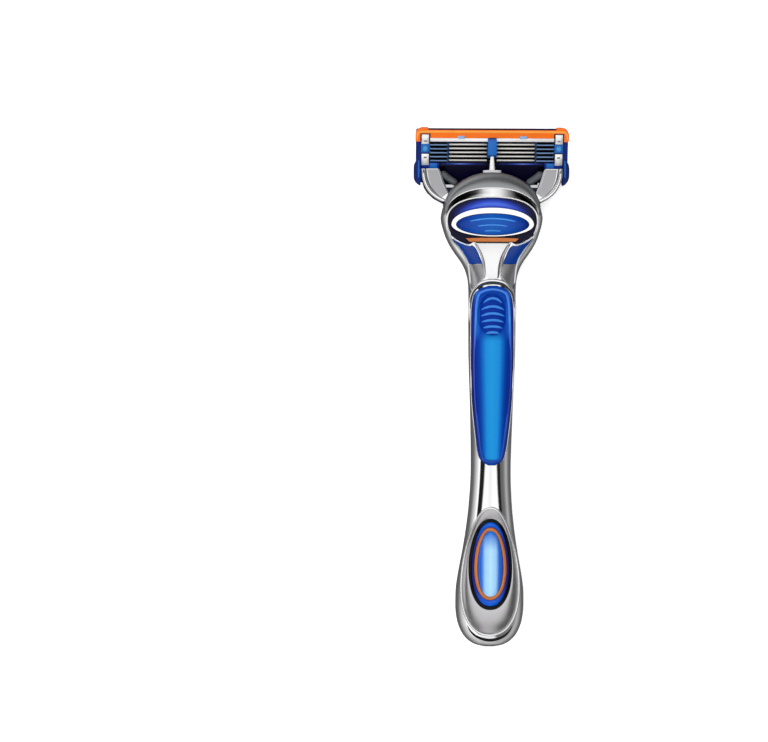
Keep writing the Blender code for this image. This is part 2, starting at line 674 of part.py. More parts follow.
def make_button():
    home = empty("button_axis", Matrix.Translation(Vector((0, 43.0, 8.2)) * MM))
    back = home.matrix_world.inverted()
    ring = slab("button_ring", ellipse(RING_CENTRE, *RING_HALF, 48), 2.0,
                back @ plan(BUTTON_Z + 1.0),
                [list(reversed(ellipse(CAP_CENTRE, CAP_HALF[0] + 0.1, CAP_HALF[1] + 0.1, 48)))])
    bevel(ring, 0.12, 1)
    finish_object(ring, "chrome", home, True)
    cap = slab("button_cap", ellipse(CAP_CENTRE, *CAP_HALF, 40), 2.7, back @ plan(BUTTON_Z + 1.35))
    bevel(cap, 0.6, 3)
    for y, half in ((45.6, 6.2), (43.9, 5.4), (42.6, 2.3)):
        bow = 0.9 if y > 44.0 else 0.5
        upper = [(x, y + 0.22 - bow * (x / 6.2) ** 2) for x in spread(-half, half, 9)]
        lower = [(x, y - 0.22 - bow * (x / 6.2) ** 2) for x in spread(half, -half, 9)]
        rib = slab("button_rib", upper + lower, 1.0, back @ plan(BUTTON_Z + 2.7))
        join_or_cut(cap, as_cutter(rib, home), 'UNION')
    finish_object(cap, "blue_gloss", home, True)

    slide = box("ejector_slide", (-9.1, 41.9, 7.0), (9.1, 44.2, 9.5))
    join_or_cut(slide, as_cutter(box("add_post", (-2.6, 41.9, 9.0), (2.6, 44.2, BUTTON_Z - 0.06))),
                'UNION')
    for sign in (-1.0, 1.0):
        low = (min(sign * 7.6, sign * 9.0), 43.8, 7.0)
        high = (max(sign * 7.6, sign * 9.0), 49.25, 7.9)
        join_or_cut(slide, as_cutter(box("add_prong", low, high)), 'UNION')
    join_or_cut(slide, as_cutter(rod("cut_spring_seat", (0, 42.3, 8.25), (0, 46.0, 8.25), 1.18)))
    slide.data.transform(back)
    for cutter in [m.object for m in slide.modifiers]:
        cutter.data.transform(back)
        cutter.parent = home
    finish_object(slide, "light_grey", home)
    helix("ejector_spring", (0.0, 42.35, 8.25), (0.0, 48.05, 8.25), 0.85, 0.14, 6)

    track = slab("button_track", track_outline(), TRACK_THICK, plan(DECK_Z + 0.05 + TRACK_THICK / 2))
    join_or_cut(track, as_cutter(box("cut_track_slot", (-2.8, 41.6, 10.0), (2.8, 48.1, 20.0))))
    finish_object(track, "blue_gloss")
    bar = slab("accent_bar", accent_outline(), 0.8, plan(DECK_Z + TRACK_THICK + 0.5))
    bevel(bar, 0.12, 1)
    finish_object(bar, "orange")


def accent_outline():
    """Bar that bows towards the button."""
    upper = [(x, 40.62 - 0.2 * (x / 7.2) ** 2) for x in spread(7.2, -7.2, 9)]
    lower = [(x, 39.55) for x in (-6.2, 6.2)]
    return upper + lower


# ---------------------------------------------------------------- yoke

def arm_profile():
    """Side view of an arm's lower part: round about the pivot, and stepped clear of the housing."""
    tip = arc((P_Y, P_Z), 1.5, 100.0, -90.0, 14)
    return [(50.0, 7.95), (58.65, 7.95)] + tip + [(56.6, 4.1), (53.0, 3.4), (50.0, 3.4)]


def arm_outline(sign):
    """Plan of an arm's lower part."""
    points = [(13.0, 50.4), (15.8, 51.9), (17.5, 53.4), (18.5, 55.0), (19.0, 57.0), (19.2, 59.0),
              (19.2, 61.0), (15.9, 61.0), (15.7, 59.0), (14.6, 57.6), (13.9, 56.2), (13.2, 54.5),
              (12.6, 53.0), (12.6, 50.4)]
    return [(sign * x, y) for x, y in points]


def make_yoke():
    home = empty("yoke_axis", Matrix.Translation(Vector((0, BASE_REAR_Y, 6.0)) * MM))
    back = home.matrix_world.inverted()
    frame = box("yoke_frame", (-13.1, BASE_REAR_Y, 2.4), (13.1, BASE_FRONT_Y, BASE_TOP_Z))
    tools = [box("cut_socket", (-6.1, 48.0, 3.6), (6.1, 53.3, 6.7))]
    for sign in (-1.0, 1.0):
        arm = slab("add_arm", arm_outline(sign), 4.55, plan(5.675))
        trim = slab("cut_arm", arm_profile(), 20.0, side(sign * 15.0))
        join_or_cut(arm, as_cutter(trim, home), 'INTERSECT')
        trim.data.transform(back)
        tools.append(arm)
        tools.append(rod("add_pin", (sign * 18.0, P_Y, P_Z), (sign * 20.9, P_Y, P_Z), PIN_R))
    for tool in tools:
        as_cutter(tool, home)
        tool.data.transform(back)
        join_or_cut(frame, tool, 'DIFFERENCE' if "cut" in tool.name else 'UNION')
    frame.data.transform(back)
    finish_object(frame, "navy", home)


# ---------------------------------------------------------------- cartridge
# Pieces are drawn about the pivot axis in (x, u, w): u runs along the blades' face away from the
# handle, and w points out of the back of the cartridge.

def housing_profile():
    """Side view of the housing in u and w."""
    return [(-3.5, -4.1), (-3.5, 0.5), (-3.2, 1.2), (-2.5, BACK_W), (12.05, BACK_W), (12.3, 1.1),
            (12.2, 0.0), (11.6, -2.4), (11.3, -3.9), (10.95, -4.6), (10.5, FACE_W), (-2.9, FACE_W)]


def cam_profile():
    """Centre bar with its cam: an involute, so the plunger moves in proportion to the pivot."""
    points = []
    for i in range(10):
        swing = -0.03 + 0.64 * i / 9
        tilt = TILT + swing
        reach = CAM_REACH - CAM_ARM * swing
        points.append((reach * math.cos(tilt) + CAM_ARM * math.sin(tilt),
                       CAM_ARM * math.cos(tilt) - reach * math.sin(tilt)))
    points += [(4.6, 1.15), (8.7, 1.15), (8.72, 1.95), (9.85, 1.95), (9.85, 1.3), (10.55, 1.3),
               (10.55, 2.5), (9.6, 3.7), (5.6, 3.7)]
    return points


def clip_profile():
    """Staple round the housing: bar on the face, two legs, tabs bent in behind."""
    return [(2.30, -5.28), (10.50, -5.28), (10.80, 1.90), (8.2, 1.90), (8.2, 1.65), (10.54, 1.65),
            (10.26, -5.03), (2.55, -5.03), (2.55, 1.65), (5.6, 1.65), (5.6, 1.90), (2.30, 1.90)]


def support_profile(edge_u):
    """L-bent blade support in u and w; the short bent leg carries the blade."""
    return [(edge_u + 0.92, 0.6), (edge_u + 0.92, -4.12), (edge_u + 0.22, -4.42),
            (edge_u + 0.27, -4.56), (edge_u + 1.12, -4.2), (edge_u + 1.12, 0.6)]


def blade_profile(edge_u):
    """Blade in u and w, lying on the bent leg, with its edge towards the guard."""
    return [(edge_u, -4.80), (edge_u + 0.30, -4.60), (edge_u + 1.00, -4.31), (edge_u + 1.04, -4.42),
            (edge_u + 0.32, -4.75)]


def guard_outline():
    """Guard in x and u, with its wavy lower edge."""
    top = [(17.0, 1.85), (-17.0, 1.85), (-17.0, -2.7)]
    wave = [(x, -GUARD_EDGE + 0.22 * (1.0 - math.cos(x / 5.6 * 2.0 * math.pi)) / 2.0)
            for x in spread(-16.8, 16.8, 25)]
    return top + wave + [(17.0, -2.7)]


def make_cartridge():
    turn = Matrix.Rotation(TILT, 4, 'X')
    home = empty("cartridge_axis", Matrix.Translation(Vector((0, P_Y, P_Z)) * MM) @ turn)

    housing = slab("cartridge_housing", housing_profile(), 2.0 * HOUSING_HALF_X, side(0.0))
    corner_x = HOUSING_HALF_X - HOUSING_CORNER_R
    corner = arc((corner_x, 12.3 - HOUSING_CORNER_R), HOUSING_CORNER_R, 0.0, 90.0, 5)
    foot = arc((corner_x, HOUSING_CORNER_R - 3.5), HOUSING_CORNER_R, -90.0, 0.0, 5)
    rounded = slab("keep_rounded", mirrored(foot + corner), 30.0, plan(0.0))
    join_or_cut(housing, as_cutter(rounded, home), 'INTERSECT')
    u0, u1 = FRONT_WINDOW_U
    tools = [box("cut_front_window", (-WINDOW_HALF_X, u0, -8.0), (WINDOW_HALF_X, u1, -2.4)),
             box("cut_rear_window", (-WINDOW_HALF_X, REAR_WINDOW_U[0], -3.0),
                 (WINDOW_HALF_X, REAR_WINDOW_U[1], 4.0)),
             box("cut_blade_ends", (-18.1, u0, -8.0), (18.1, u1, -3.2)),
             box("cut_strip_seat", (-16.35, 8.45, -8.0), (16.35, 11.05, -4.5)),
             box("cut_guard_seat", (-17.15, -8.0, -8.0), (17.15, 2.0, -4.3))]
    for sign in (-1.0, 1.0):
        lobe = rod("add_lobe", (sign * LOBE_INNER_X, 0, 0), (sign * LOBE_OUTER_X, 0, 0), LOBE_R)
        keep = rod("keep_lobe", (sign * (LOBE_INNER_X - 0.1), 0, 0),
                   (sign * (LOBE_OUTER_X + 0.05), 0, 0), *LOBE_TAPER)
        join_or_cut(lobe, as_cutter(keep, home), 'INTERSECT')
        tools.append(lobe)
        low, high = sorted((sign * 12.7, sign * LOBE_INNER_X))
        tools.append(box("cut_arm_pocket", (low, -5.0, -2.2), (high, 1.9, 5.0)))
        tools.append(rod("cut_bore", (sign * 18.0, 0, 0), (sign * 21.1, 0, 0), BORE_R))
        low, high = sorted((sign * 17.1, sign * 19.35))
        for start, end in ((2.2, 2.65), (10.16, 10.9)):
            tools.append(box("cut_clip_slot", (low, start, -8.0), (high, end, 4.0)))
        rib = sorted((sign * 11.9, sign * 12.7))
        tools.append(box("add_rib", (rib[0], 2.6, 1.1), (rib[1], 8.8, 1.45)))
    tools.append(slab("add_centre_bar", cam_profile(), 2.4, side(0.0)))
    for tool in tools:
        as_cutter(tool, home)
        join_or_cut(housing, tool, 'DIFFERENCE' if "cut" in tool.name else 'UNION')
    finish_object(housing, "navy", home)

    blade_steel = slab("trimmer_blade", [(-16.9, 8.85), (16.9, 8.85), (16.9, 9.75), (-16.9, 9.75)],
                       0.22, plan(BACK_W + 0.05 + 0.11))
    finish_object(blade_steel, "steel", home)
    right = [(1.35, 11.0), (1.35, 9.9), (16.8, 9.9), (16.8, 11.15), (19.55, 11.15), (19.55, 8.9),
             (20.6, 8.9), (20.7, 11.0), (20.2, 11.7), (19.6, 11.95)]
    trimmer = slab("trimmer_guard", mirrored(right), 0.7, plan(BACK_W + 0.05 + 0.35))
    bevel(trimmer, 0.15, 1)
    finish_object(trimmer, "orange", home)
    strip = box("lubricating_strip", (-16.2, 8.6, -5.35), (16.2, 10.9, -4.6))
    bevel(strip, 0.25, 2)
    finish_object(strip, "pale_blue", home)

    guard = slab("guard_strip", guard_outline(), GUARD_FACE - 4.4, plan(-(GUARD_FACE + 4.4) / 2.0))
    for x in (-14.0, -8.4, -2.8, 2.8, 8.4, 14.0):
        slot = box("cut_guard_slot", (x - 1.4, -2.6, -8.0), (x + 1.4, -1.4, -4.75))
        join_or_cut(guard, as_cutter(slot, home))
    for u in (-0.4, 0.25, 0.9):
        fin = box("cut_guard_fin", (-16.2, u, -8.0), (16.2, u + 0.3, -4.9))
        join_or_cut(guard, as_cutter(fin, home))
    finish_object(guard, "blue_rubber", home)

    for sign, hand in ((-1.0, "left"), (1.0, "right")):
        clip = slab("clip_" + hand, clip_profile(), 2.05, side(sign * 18.22))
        finish_object(clip, "aluminium", home)
    for i in range(BLADES):
        edge = FIRST_EDGE_U + i * BLADE_PITCH
        support = slab("blade_support_%d" % (i + 1), support_profile(edge),
                       2.0 * SUPPORT_HALF_LENGTH, side(0.0))
        finish_object(support, "aluminium", home)
        blade = slab("blade_%d" % (i + 1), blade_profile(edge), 2.0 * BLADE_HALF_LENGTH, side(0.0))
        finish_object(blade, "steel", home)


make_handle_frame()
make_grips()
make_butt_trim()
make_neck_inlays()
make_dock_housing()
make_hub_dome()
make_plunger_group()
make_button()
make_yoke()
make_cartridge()
bpy.context.view_layer.update()
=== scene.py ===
"""Looks of the cartridge razor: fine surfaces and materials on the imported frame."""

import json
import math

import bmesh
import bpy
from mathutils import Matrix, Vector


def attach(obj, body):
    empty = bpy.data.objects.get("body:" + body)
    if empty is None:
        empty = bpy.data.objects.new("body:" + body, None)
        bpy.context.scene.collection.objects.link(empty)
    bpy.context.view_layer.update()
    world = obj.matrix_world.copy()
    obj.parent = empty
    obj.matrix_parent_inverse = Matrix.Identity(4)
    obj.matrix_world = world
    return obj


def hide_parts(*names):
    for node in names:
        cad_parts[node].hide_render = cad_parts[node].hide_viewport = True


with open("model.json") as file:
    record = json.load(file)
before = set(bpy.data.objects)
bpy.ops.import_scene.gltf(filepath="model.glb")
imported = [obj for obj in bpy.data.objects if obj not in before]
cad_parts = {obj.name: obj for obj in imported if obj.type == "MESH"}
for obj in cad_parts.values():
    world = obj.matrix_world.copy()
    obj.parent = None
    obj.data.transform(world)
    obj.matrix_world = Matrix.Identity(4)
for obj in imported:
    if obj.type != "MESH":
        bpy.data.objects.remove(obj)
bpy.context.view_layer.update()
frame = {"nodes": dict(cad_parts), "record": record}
NODES = frame["nodes"]
MM = 0.001
HANDS = ((-1.0, "left"), (1.0, "right"))


# ---------------------------------------------------------------- shared shapes, in millimetres

HALF_WIDTH = ((-71.0, 1.7), (-70.5, 3.8), (-69.6, 5.5), (-68.0, 7.1), (-66.0, 8.2), (-64.0, 8.85),
              (-61.0, 9.3), (-58.0, 9.35), (-55.0, 9.25), (-51.0, 8.7), (-45.0, 7.6), (-38.5, 6.6),
              (-32.0, 5.9), (-23.0, 5.45), (-9.0, 5.7), (0.0, 6.0), (8.0, 6.3), (16.0, 6.4),
              (24.0, 6.4), (28.5, 6.55), (31.5, 7.2), (34.0, 8.4), (36.5, 10.15), (39.0, 11.7),
              (42.0, 12.95), (46.0, 13.9), (49.0, 13.4))
TOP_Z = ((-71.0, 6.6), (-70.5, 7.6), (-69.6, 8.3), (-68.0, 9.3), (-64.0, 10.6), (-58.0, 11.5),
         (-51.0, 12.0), (-38.5, 12.4), (-32.0, 13.0), (-23.0, 14.4), (-9.0, 17.0), (0.0, 18.0),
         (16.0, 18.6), (24.0, 18.0), (31.5, 16.6), (36.5, 15.4), (42.0, 14.6), (49.0, 13.9))
BOTTOM_Z = ((-71.0, 4.6), (-70.5, 3.6), (-69.6, 2.8), (-68.0, 1.6), (-64.0, 0.3), (-60.0, -0.3),
            (-50.0, -0.3), (-45.0, 0.4), (-38.5, 1.6), (-32.0, 2.9), (-23.0, 4.5), (-9.0, 5.8),
            (0.0, 6.2), (16.0, 6.7), (28.0, 7.2), (33.0, 6.9), (38.5, 5.6), (42.0, 4.0),
            (46.0, 2.6), (49.0, 2.0))
SQUARENESS = ((-71.0, 2.2), (-50.0, 2.5), (-20.0, 2.3), (24.0, 2.3), (36.0, 2.9), (49.0, 3.6))


def smooth(stations, y):
    """Value at y on a smooth curve through (y, value) stations."""
    last = len(stations) - 1
    k = 0
    while k < last - 1 and y > stations[k + 1][0]:
        k += 1

    def slope(i):
        lo = stations[max(i - 1, 0)]
        hi = stations[min(i + 1, last)]
        return (hi[1] - lo[1]) / (hi[0] - lo[0])

    (y0, v0), (y1, v1) = stations[k], stations[k + 1]
    span = y1 - y0
    t = min(max((y - y0) / span, 0.0), 1.0)
    rise = t * t * (3.0 - 2.0 * t)
    ease_in = t * (1.0 - t) ** 2 * span * slope(k)
    ease_out = t * t * (t - 1.0) * span * slope(k + 1)
    return v0 + (v1 - v0) * rise + ease_in + ease_out


def spread(start, end, count):
    return [start + (end - start) * i / (count - 1) for i in range(count)]


def step(low, high, value):
    """0 below low, 1 above high, smooth between."""
    t = min(max((value - low) / (high - low), 0.0), 1.0)
    return t * t * (3.0 - 2.0 * t)


def skin(x, y, top=True):
    """Height of the handle's skin at x and y."""
    half = smooth(HALF_WIDTH, y)
    high, low = smooth(TOP_Z, y), smooth(BOTTOM_Z, y)
    power = smooth(SQUARENESS, y)
    share = min(abs(x) / half, 1.0)
    rise = (high - low) / 2.0 * (1.0 - share ** power) ** (1.0 / power)
    return (high + low) / 2.0 + (rise if top else -rise)


# ---------------------------------------------------------------- building helpers


def new_object(name, verts, faces, smooth_angle):
    mesh = bpy.data.meshes.new(name)
    mesh.from_pydata([tuple(c * MM for c in point) for point in verts], [], faces)
    mesh.update()
    item = bpy.data.objects.new(name, mesh)
    bpy.context.scene.collection.objects.link(item)
    tidy_mesh(item, smooth_angle)
    return item


def tidy_mesh(item, smooth_angle):
    """Faces point out, and only edges sharper than smooth_angle stay sharp."""
    bm = bmesh.new()
    bm.from_mesh(item.data)
    bmesh.ops.remove_doubles(bm, verts=bm.verts, dist=1e-7)
    bmesh.ops.recalc_face_normals(bm, faces=bm.faces)
    bm.to_mesh(item.data)
    bm.free()
    item.data.shade_smooth()
    item.data.set_sharp_from_angle(angle=math.radians(smooth_angle))


def settle(item, smooth_angle):
    """Turns an item's modifiers into mesh."""
    graph = bpy.context.evaluated_depsgraph_get()
    result = bpy.data.meshes.new_from_object(item.evaluated_get(graph))
    item.modifiers.clear()
    item.data = result
    tidy_mesh(item, smooth_angle)


def carve(item, tool, operation='DIFFERENCE', smooth_angle=35.0):
    """Cuts tool out of item, or joins the two, and removes tool."""
    cut = item.modifiers.new("carve", 'BOOLEAN')
    cut.operation = operation
    cut.object = tool
    cut.solver = 'EXACT'
    settle(item, smooth_angle)
    bpy.data.objects.remove(tool)


def bevel(item, width, segments=2, angle=30.0):
    rounded = item.modifiers.new("edges", 'BEVEL')
    rounded.width = width * MM
    rounded.segments = segments
    rounded.limit_method = 'ANGLE'
    rounded.angle_limit = math.radians(angle)
    settle(item, 35.0)


def finish(item, look, body, slot, *nodes):
    """Gives a piece its look and the body it moves with, and hides the nodes it stands for."""
    item.data.materials.clear()
    item.data.materials.append(look)
    for face in item.data.polygons:
        face.material_index = 0
    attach(item, body)
    if nodes:
        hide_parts(*nodes)
    return item


def loft(name, rings, smooth_angle=35.0, closed=False):
    """Solid skinned over rings of equally many points; closed joins the last ring to the first."""
    count = len(rings[0])
    verts = [point for ring in rings for point in ring]
    faces = []
    last = len(rings) if closed else len(rings) - 1
    for i in range(last):
        here, there = i * count, (i + 1) % len(rings) * count
        for j in range(count):
            k = (j + 1) % count
            faces.append((here + j, here + k, there + k, there + j))
    if not closed:
        faces.append(tuple(range(count)))
        faces.append(tuple(range((len(rings) - 1) * count, len(rings) * count)))
    return new_object(name, verts, faces, smooth_angle)


def patch(name, rows, floor, smooth_angle=50.0):
    """Solid under a grid of upper points; floor(x, y, z) gives the underside's height."""
    return loft(name, [row + [(x, y, floor(x, y, z)) for x, y, z in reversed(row)] for row in rows],
                smooth_angle)


def slab(name, outline, low, high):
    """Upright prism over an outline in x and y."""
    return loft(name, [[(x, y, z) for x, y in outline] for z in (low, high)])


def side_slab(name, outline, x0, x1):
    """Prism along x over an outline in (u, w)."""
    return loft(name, [[(x, u, w) for u, w in outline] for x in (x0, x1)])


def box(name, low, high):
    outline = ((low[0], low[1]), (high[0], low[1]), (high[0], high[1]), (low[0], high[1]))
    return slab(name, outline, low[2], high[2])


def rod(name, start, end, radius, segments=32):
    a, b = Vector(start), Vector(end)
    axis = (b - a).normalized()
    side_way = axis.orthogonal().normalized()
    up = axis.cross(side_way)
    turns = [2 * math.pi * i / segments for i in range(segments)]
    return loft(name, [[tuple(centre + radius * (math.cos(turn) * side_way + math.sin(turn) * up))
                        for turn in turns] for centre in (a, b)])


def curve_through(points, count, closed=False):
    """Evenly spaced points on a smooth (Catmull-Rom) curve through points."""
    points = [Vector(p) for p in points]
    size = len(points)
    spans = size if closed else size - 1
    fine = []
    for i in range(spans):
        if closed:
            p0, p1, p2, p3 = (points[(i + k - 1) % size] for k in range(4))
        else:
            p1, p2 = points[i], points[i + 1]
            p0 = points[i - 1] if i else 2.0 * p1 - p2
            p3 = points[i + 2] if i + 2 < size else 2.0 * p2 - p1
        for k in range(16):
            t = k / 16.0
            fine.append(0.5 * (2.0 * p1 + (p2 - p0) * t + (2.0 * p0 - 5.0 * p1 + 4.0 * p2 - p3)
                               * t * t + (3.0 * p1 - p0 - 3.0 * p2 + p3) * t ** 3))
    fine.append(points[0] if closed else points[-1])
    lengths = [0.0]
    for a, b in zip(fine, fine[1:]):
        lengths.append(lengths[-1] + (b - a).length)
    result = []
    j = 0
    steps = count if closed else count - 1
    for i in range(count):
        goal = lengths[-1] * i / steps
        while j < len(lengths) - 2 and lengths[j + 1] < goal:
            j += 1
        gap = lengths[j + 1] - lengths[j]
        share = (goal - lengths[j]) / gap if gap else 0.0
        result.append(fine[j].lerp(fine[j + 1], min(share, 1.0)))
    return result


def bead(name, path, radius, closed=False, taper=0.0, flat=1.0, segments=12):
    """Round bead along a path; taper is the share of each end over which it thins away."""
    path = [Vector(p) for p in path]
    size = len(path)
    rings = []
    for i, point in enumerate(path):
        if closed:
            along = (path[(i + 1) % size] - path[i - 1]).normalized()
        else:
            along = (path[min(i + 1, size - 1)] - path[max(i - 1, 0)]).normalized()
        side_way = along.cross(Vector((0.0, 0.0, 1.0))).normalized()
        up = side_way.cross(along).normalized()
        share = i / (size - 1)
        thin = 1.0
        if taper:
            near = min(share, 1.0 - share) / taper
            thin = math.sqrt(min(max(near, 0.02), 1.0))
        ring = []
        for k in range(segments):
            turn = 2.0 * math.pi * k / segments
            ring.append(tuple(point + radius * thin * (math.cos(turn) * side_way
                                                       + flat * math.sin(turn) * up)))
        rings.append(ring)
    return loft(name, rings, 60.0, closed)


def flat_curve(points, count=41, closed=False):
    """Evenly spaced (x, y) points on a smooth curve through (x, y) points."""
    return [(p.x, p.y) for p in curve_through([(*p, 0.0) for p in points], count, closed)]


def both_sides(points, shared=1):
    """Points and their mirror images; the last shared points lie on the middle line."""
    return points + [(-x, y) for x, y in reversed(points[:len(points) - shared])]


def eased(low, high, count):
    """Stations from low to high, closer together towards both ends."""
    return [low + (high - low) * (0.5 - 0.5 * math.cos(math.pi * i / count)) for i in range(count + 1)]


def skin_bead(name, points, lift, radius, look, slot="chrome", closed=False, taper=0.0, flat=1.0):
    """Bead laid along (x, y) points at lift above the handle's skin."""
    path = [(x, y, skin(x, y) + lift) for x, y in points]
    finish(bead(name, path, radius, closed, taper, flat), look, "handle", slot)


# ---------------------------------------------------------------- materials

def feed(tree, node, inputs):
    """Sets a node's inputs to values or links sockets to them."""
    for place, value in inputs.items():
        if isinstance(value, bpy.types.NodeSocket):
            tree.links.new(value, node.inputs[place])
        else:
            node.inputs[place].default_value = value
    return node


def add_node(tree, kind, inputs):
    return feed(tree, tree.nodes.new("ShaderNode" + kind), inputs)


def mix_colours(tree, share, first, second):
    """Mixes two colours; share 0 gives the first."""
    node = tree.nodes.new("ShaderNodeMix")
    node.data_type = 'RGBA'
    return feed(tree, node, {0: share, 6: first, 7: second}).outputs[2]


class Term:
    """Value that math nodes work out, written like ordinary arithmetic."""

    def __init__(self, tree, socket):
        self.tree, self.socket = tree, socket

    def node(self, operation, *others):
        made = self.tree.nodes.new("ShaderNodeMath")
        made.operation = operation
        values = [v.socket if isinstance(v, Term) else v for v in (self, *others)]
        return Term(self.tree, feed(self.tree, made, dict(enumerate(values))).outputs[0])

    def __abs__(self):
        return self.node('ABSOLUTE')

    def __add__(self, other):
        return self.node('ADD', other)

    def __mul__(self, other):
        return self.node('MULTIPLY', other)

    def __truediv__(self, other):
        return self.node('DIVIDE', other)

    def clamped(self):
        return self.node('MAXIMUM', 0.0).node('MINIMUM', 1.0)

    def blend(self, first, second):
        return mix_colours(self.tree, self.socket, first, second)

    def ramp(self, *stops):
        """Colour socket that follows (position, colour) stops."""
        made = add_node(self.tree, "ValToRGB", {"Fac": self.socket})
        elements = made.color_ramp.elements
        elements.remove(elements[-1])
        elements[0].position = stops[0][0]
        elements[0].color = (*stops[0][1], 1.0)
        for position, colour in stops[1:]:
            elements.new(position).color = (*colour, 1.0)
        return made.outputs["Color"]

    def grey_ramp(self, *stops):
        return self.ramp(*((position, (level,) * 3) for position, level in stops))


def material(name, colour, roughness=0.4, metallic=0.0, coat=0.0, vary=0.06, grain=900.0,
             bump=0.04, stretch=(1.0, 1.0, 1.0), tint=0.06, specular=0.3, field=None):
    """Principled surface whose roughness, tone and fine relief vary with a noise grain.

    field(x, y) may return a colour socket worked out from the place in millimetres.
    """
    made = bpy.data.materials.new(name)
    made.use_nodes = True
    tree = made.node_tree
    place = tree.nodes.new("ShaderNodeTexCoord").outputs["Object"]
    stretched = add_node(tree, "Mapping", {"Vector": place, "Scale": stretch}).outputs["Vector"]
    noise = add_node(tree, "TexNoise", {"Vector": stretched, "Scale": grain, "Detail": 4.0})
    noise = noise.outputs["Fac"]
    rough = add_node(tree, "MapRange", {"Value": noise, "To Min": max(roughness - vary, 0.01),
                                        "To Max": roughness + vary})
    if field:
        split = add_node(tree, "SeparateXYZ", {"Vector": place})
        base = field(*(Term(tree, split.outputs[axis]) * 1000.0 for axis in "XY"))
        value = Term(tree, noise) * (2.0 * tint) + (1.0 - tint)
        shade = add_node(tree, "HueSaturation", {"Color": base, "Value": value.socket})
        base = shade.outputs["Color"]
    else:
        low, high = ([min(c * share, 1.0) for c in colour] for share in (1.0 - tint, 1.0 + tint))
        base = mix_colours(tree, noise, (*low, 1.0), (*high, 1.0))
    relief = add_node(tree, "Bump", {"Strength": bump, "Distance": 0.00005, "Height": noise})
    feed(tree, tree.nodes["Principled BSDF"], {
        "Base Color": base, "Metallic": metallic, "Roughness": rough.outputs["Result"],
        "Coat Weight": coat, "Coat Roughness": 0.05, "Specular IOR Level": specular,
        "Normal": relief.outputs["Normal"]})
    return made


def grip_painted_light(x, y):
    """Painted highlight of cyan along the scooped middle below the thumb oval, with painted shade of
    deep blue elsewhere, darkest at the edges.
    """
    part = abs(x) / (y * 0.06 + 5.4).node('MINIMUM', 6.0)
    scoop = part.ramp((0.0, (0.012, 0.29, 0.68)), (0.28, (0.010, 0.25, 0.66)),
                      (0.46, (0.003, 0.12, 0.50)), (0.58, (0.001, 0.055, 0.35)),
                      (0.68, (0.001, 0.035, 0.30)), (0.78, (0.002, 0.022, 0.25)),
                      (0.92, (0.001, 0.006, 0.14)), (1.0, (0.001, 0.004, 0.10)))
    head = part.ramp((0.0, (0.001, 0.05, 0.34)), (0.55, (0.002, 0.05, 0.36)),
                     (0.72, (0.010, 0.12, 0.55)), (0.84, (0.002, 0.022, 0.26)),
                     (1.0, (0.001, 0.004, 0.12)))
    tip = part.ramp((0.0, (0.002, 0.06, 0.36)), (0.5, (0.001, 0.03, 0.25)),
                    (1.0, (0.001, 0.006, 0.14)))
    above, below = (y * 0.40 + -5.0).clamped(), (y * -0.9 + -17.2).clamped()
    return below.blend(above.blend(scoop, head), tip)


def rim_painted_highlight(x, y):
    """Painted highlight of periwinkle on the raised rim beside the thumb oval, fading into the grip's
    blue towards the butt.
    """
    return (y * 0.022 + 0.44).clamped().ramp(
        (0.0, (0.002, 0.055, 0.36)), (0.25, (0.006, 0.065, 0.42)), (0.50, (0.035, 0.085, 0.52)),
        (0.72, (0.035, 0.10, 0.56)), (0.84, (0.05, 0.24, 0.76)), (0.96, (0.05, 0.20, 0.70)))


def band_painted_reflection(x, y):
    """Painted reflection on the dome's band: bright at the middle, black to both sides, bright again at
    its ends.
    """
    return (abs(x) / 13.0).grey_ramp((0.0, 0.95), (0.16, 0.80), (0.34, 0.28), (0.48, 0.05),
                                     (0.60, 0.012), (0.80, 0.012), (0.90, 0.12), (0.97, 0.80))


def housing_painted_shade(x, y):
    """Painted shade on the housing: near-black between the arms, navy at the ends and the back."""
    part = abs(x) / 21.5
    side = part.ramp((0.0, (0.0015, 0.0012, 0.012)), (0.74, (0.0015, 0.0012, 0.014)),
                     (0.86, (0.003, 0.010, 0.09)), (0.93, (0.003, 0.020, 0.17)),
                     (1.0, (0.002, 0.008, 0.08)))
    back = part.ramp((0.0, (0.0015, 0.0015, 0.008)), (0.80, (0.003, 0.006, 0.04)),
                     (0.95, (0.003, 0.018, 0.16)), (1.0, (0.002, 0.008, 0.09)))
    return (y * 0.5 + -30.5).clamped().blend(side, back)


def rail_field(x, y):
    """Light where the rail catches the light, deep blue towards its ends."""
    return (abs(abs(x) + -8.5) / 7.0).ramp((0.0, (0.10, 0.15, 0.55)), (0.30, (0.03, 0.06, 0.36)),
                                           (0.60, (0.004, 0.012, 0.14)), (1.0, (0.003, 0.008, 0.10)))


def cap_painted_light(x, y):
    """Lighter at the middle of the button as a painted highlight, with painted shade of deep blue at its
    ends.
    """
    return (abs(x) / 9.9).ramp((0.0, (0.003, 0.09, 0.42)), (0.45, (0.002, 0.065, 0.38)),
                               (0.80, (0.001, 0.035, 0.28)), (1.0, (0.001, 0.015, 0.16)))


def lens_painted_highlight(x, y):
    """Pale blue middle, partly the lens's own colour and partly a painted highlight, fading to blue at
    the sides and towards the grip.
    """
    part = abs(x) / 3.6
    middle = part.ramp((0.0, (0.42, 0.72, 0.95)), (0.40, (0.30, 0.58, 0.90)),
                       (0.62, (0.03, 0.16, 0.66)), (1.0, (0.005, 0.06, 0.40)))
    blue = part.ramp((0.0, (0.01, 0.17, 0.70)), (1.0, (0.004, 0.06, 0.40)))
    return (y * 0.22 + 9.75).clamped().blend(middle, blue)


def track_painted_light(x, y):
    """Painted highlight: a bright crescent above the button, on a near-black field of painted shade."""
    near = abs(y + x * x * 0.030 + -49.85) / -1.9 + 1.0
    across = x * x / -(10.8 ** 2) + 1.0
    return (near.clamped() * across.clamped()).ramp(
        (0.0, (0.001, 0.001, 0.018)), (0.20, (0.002, 0.008, 0.13)), (0.55, (0.012, 0.05, 0.46)),
        (0.9, (0.06, 0.14, 0.74)))


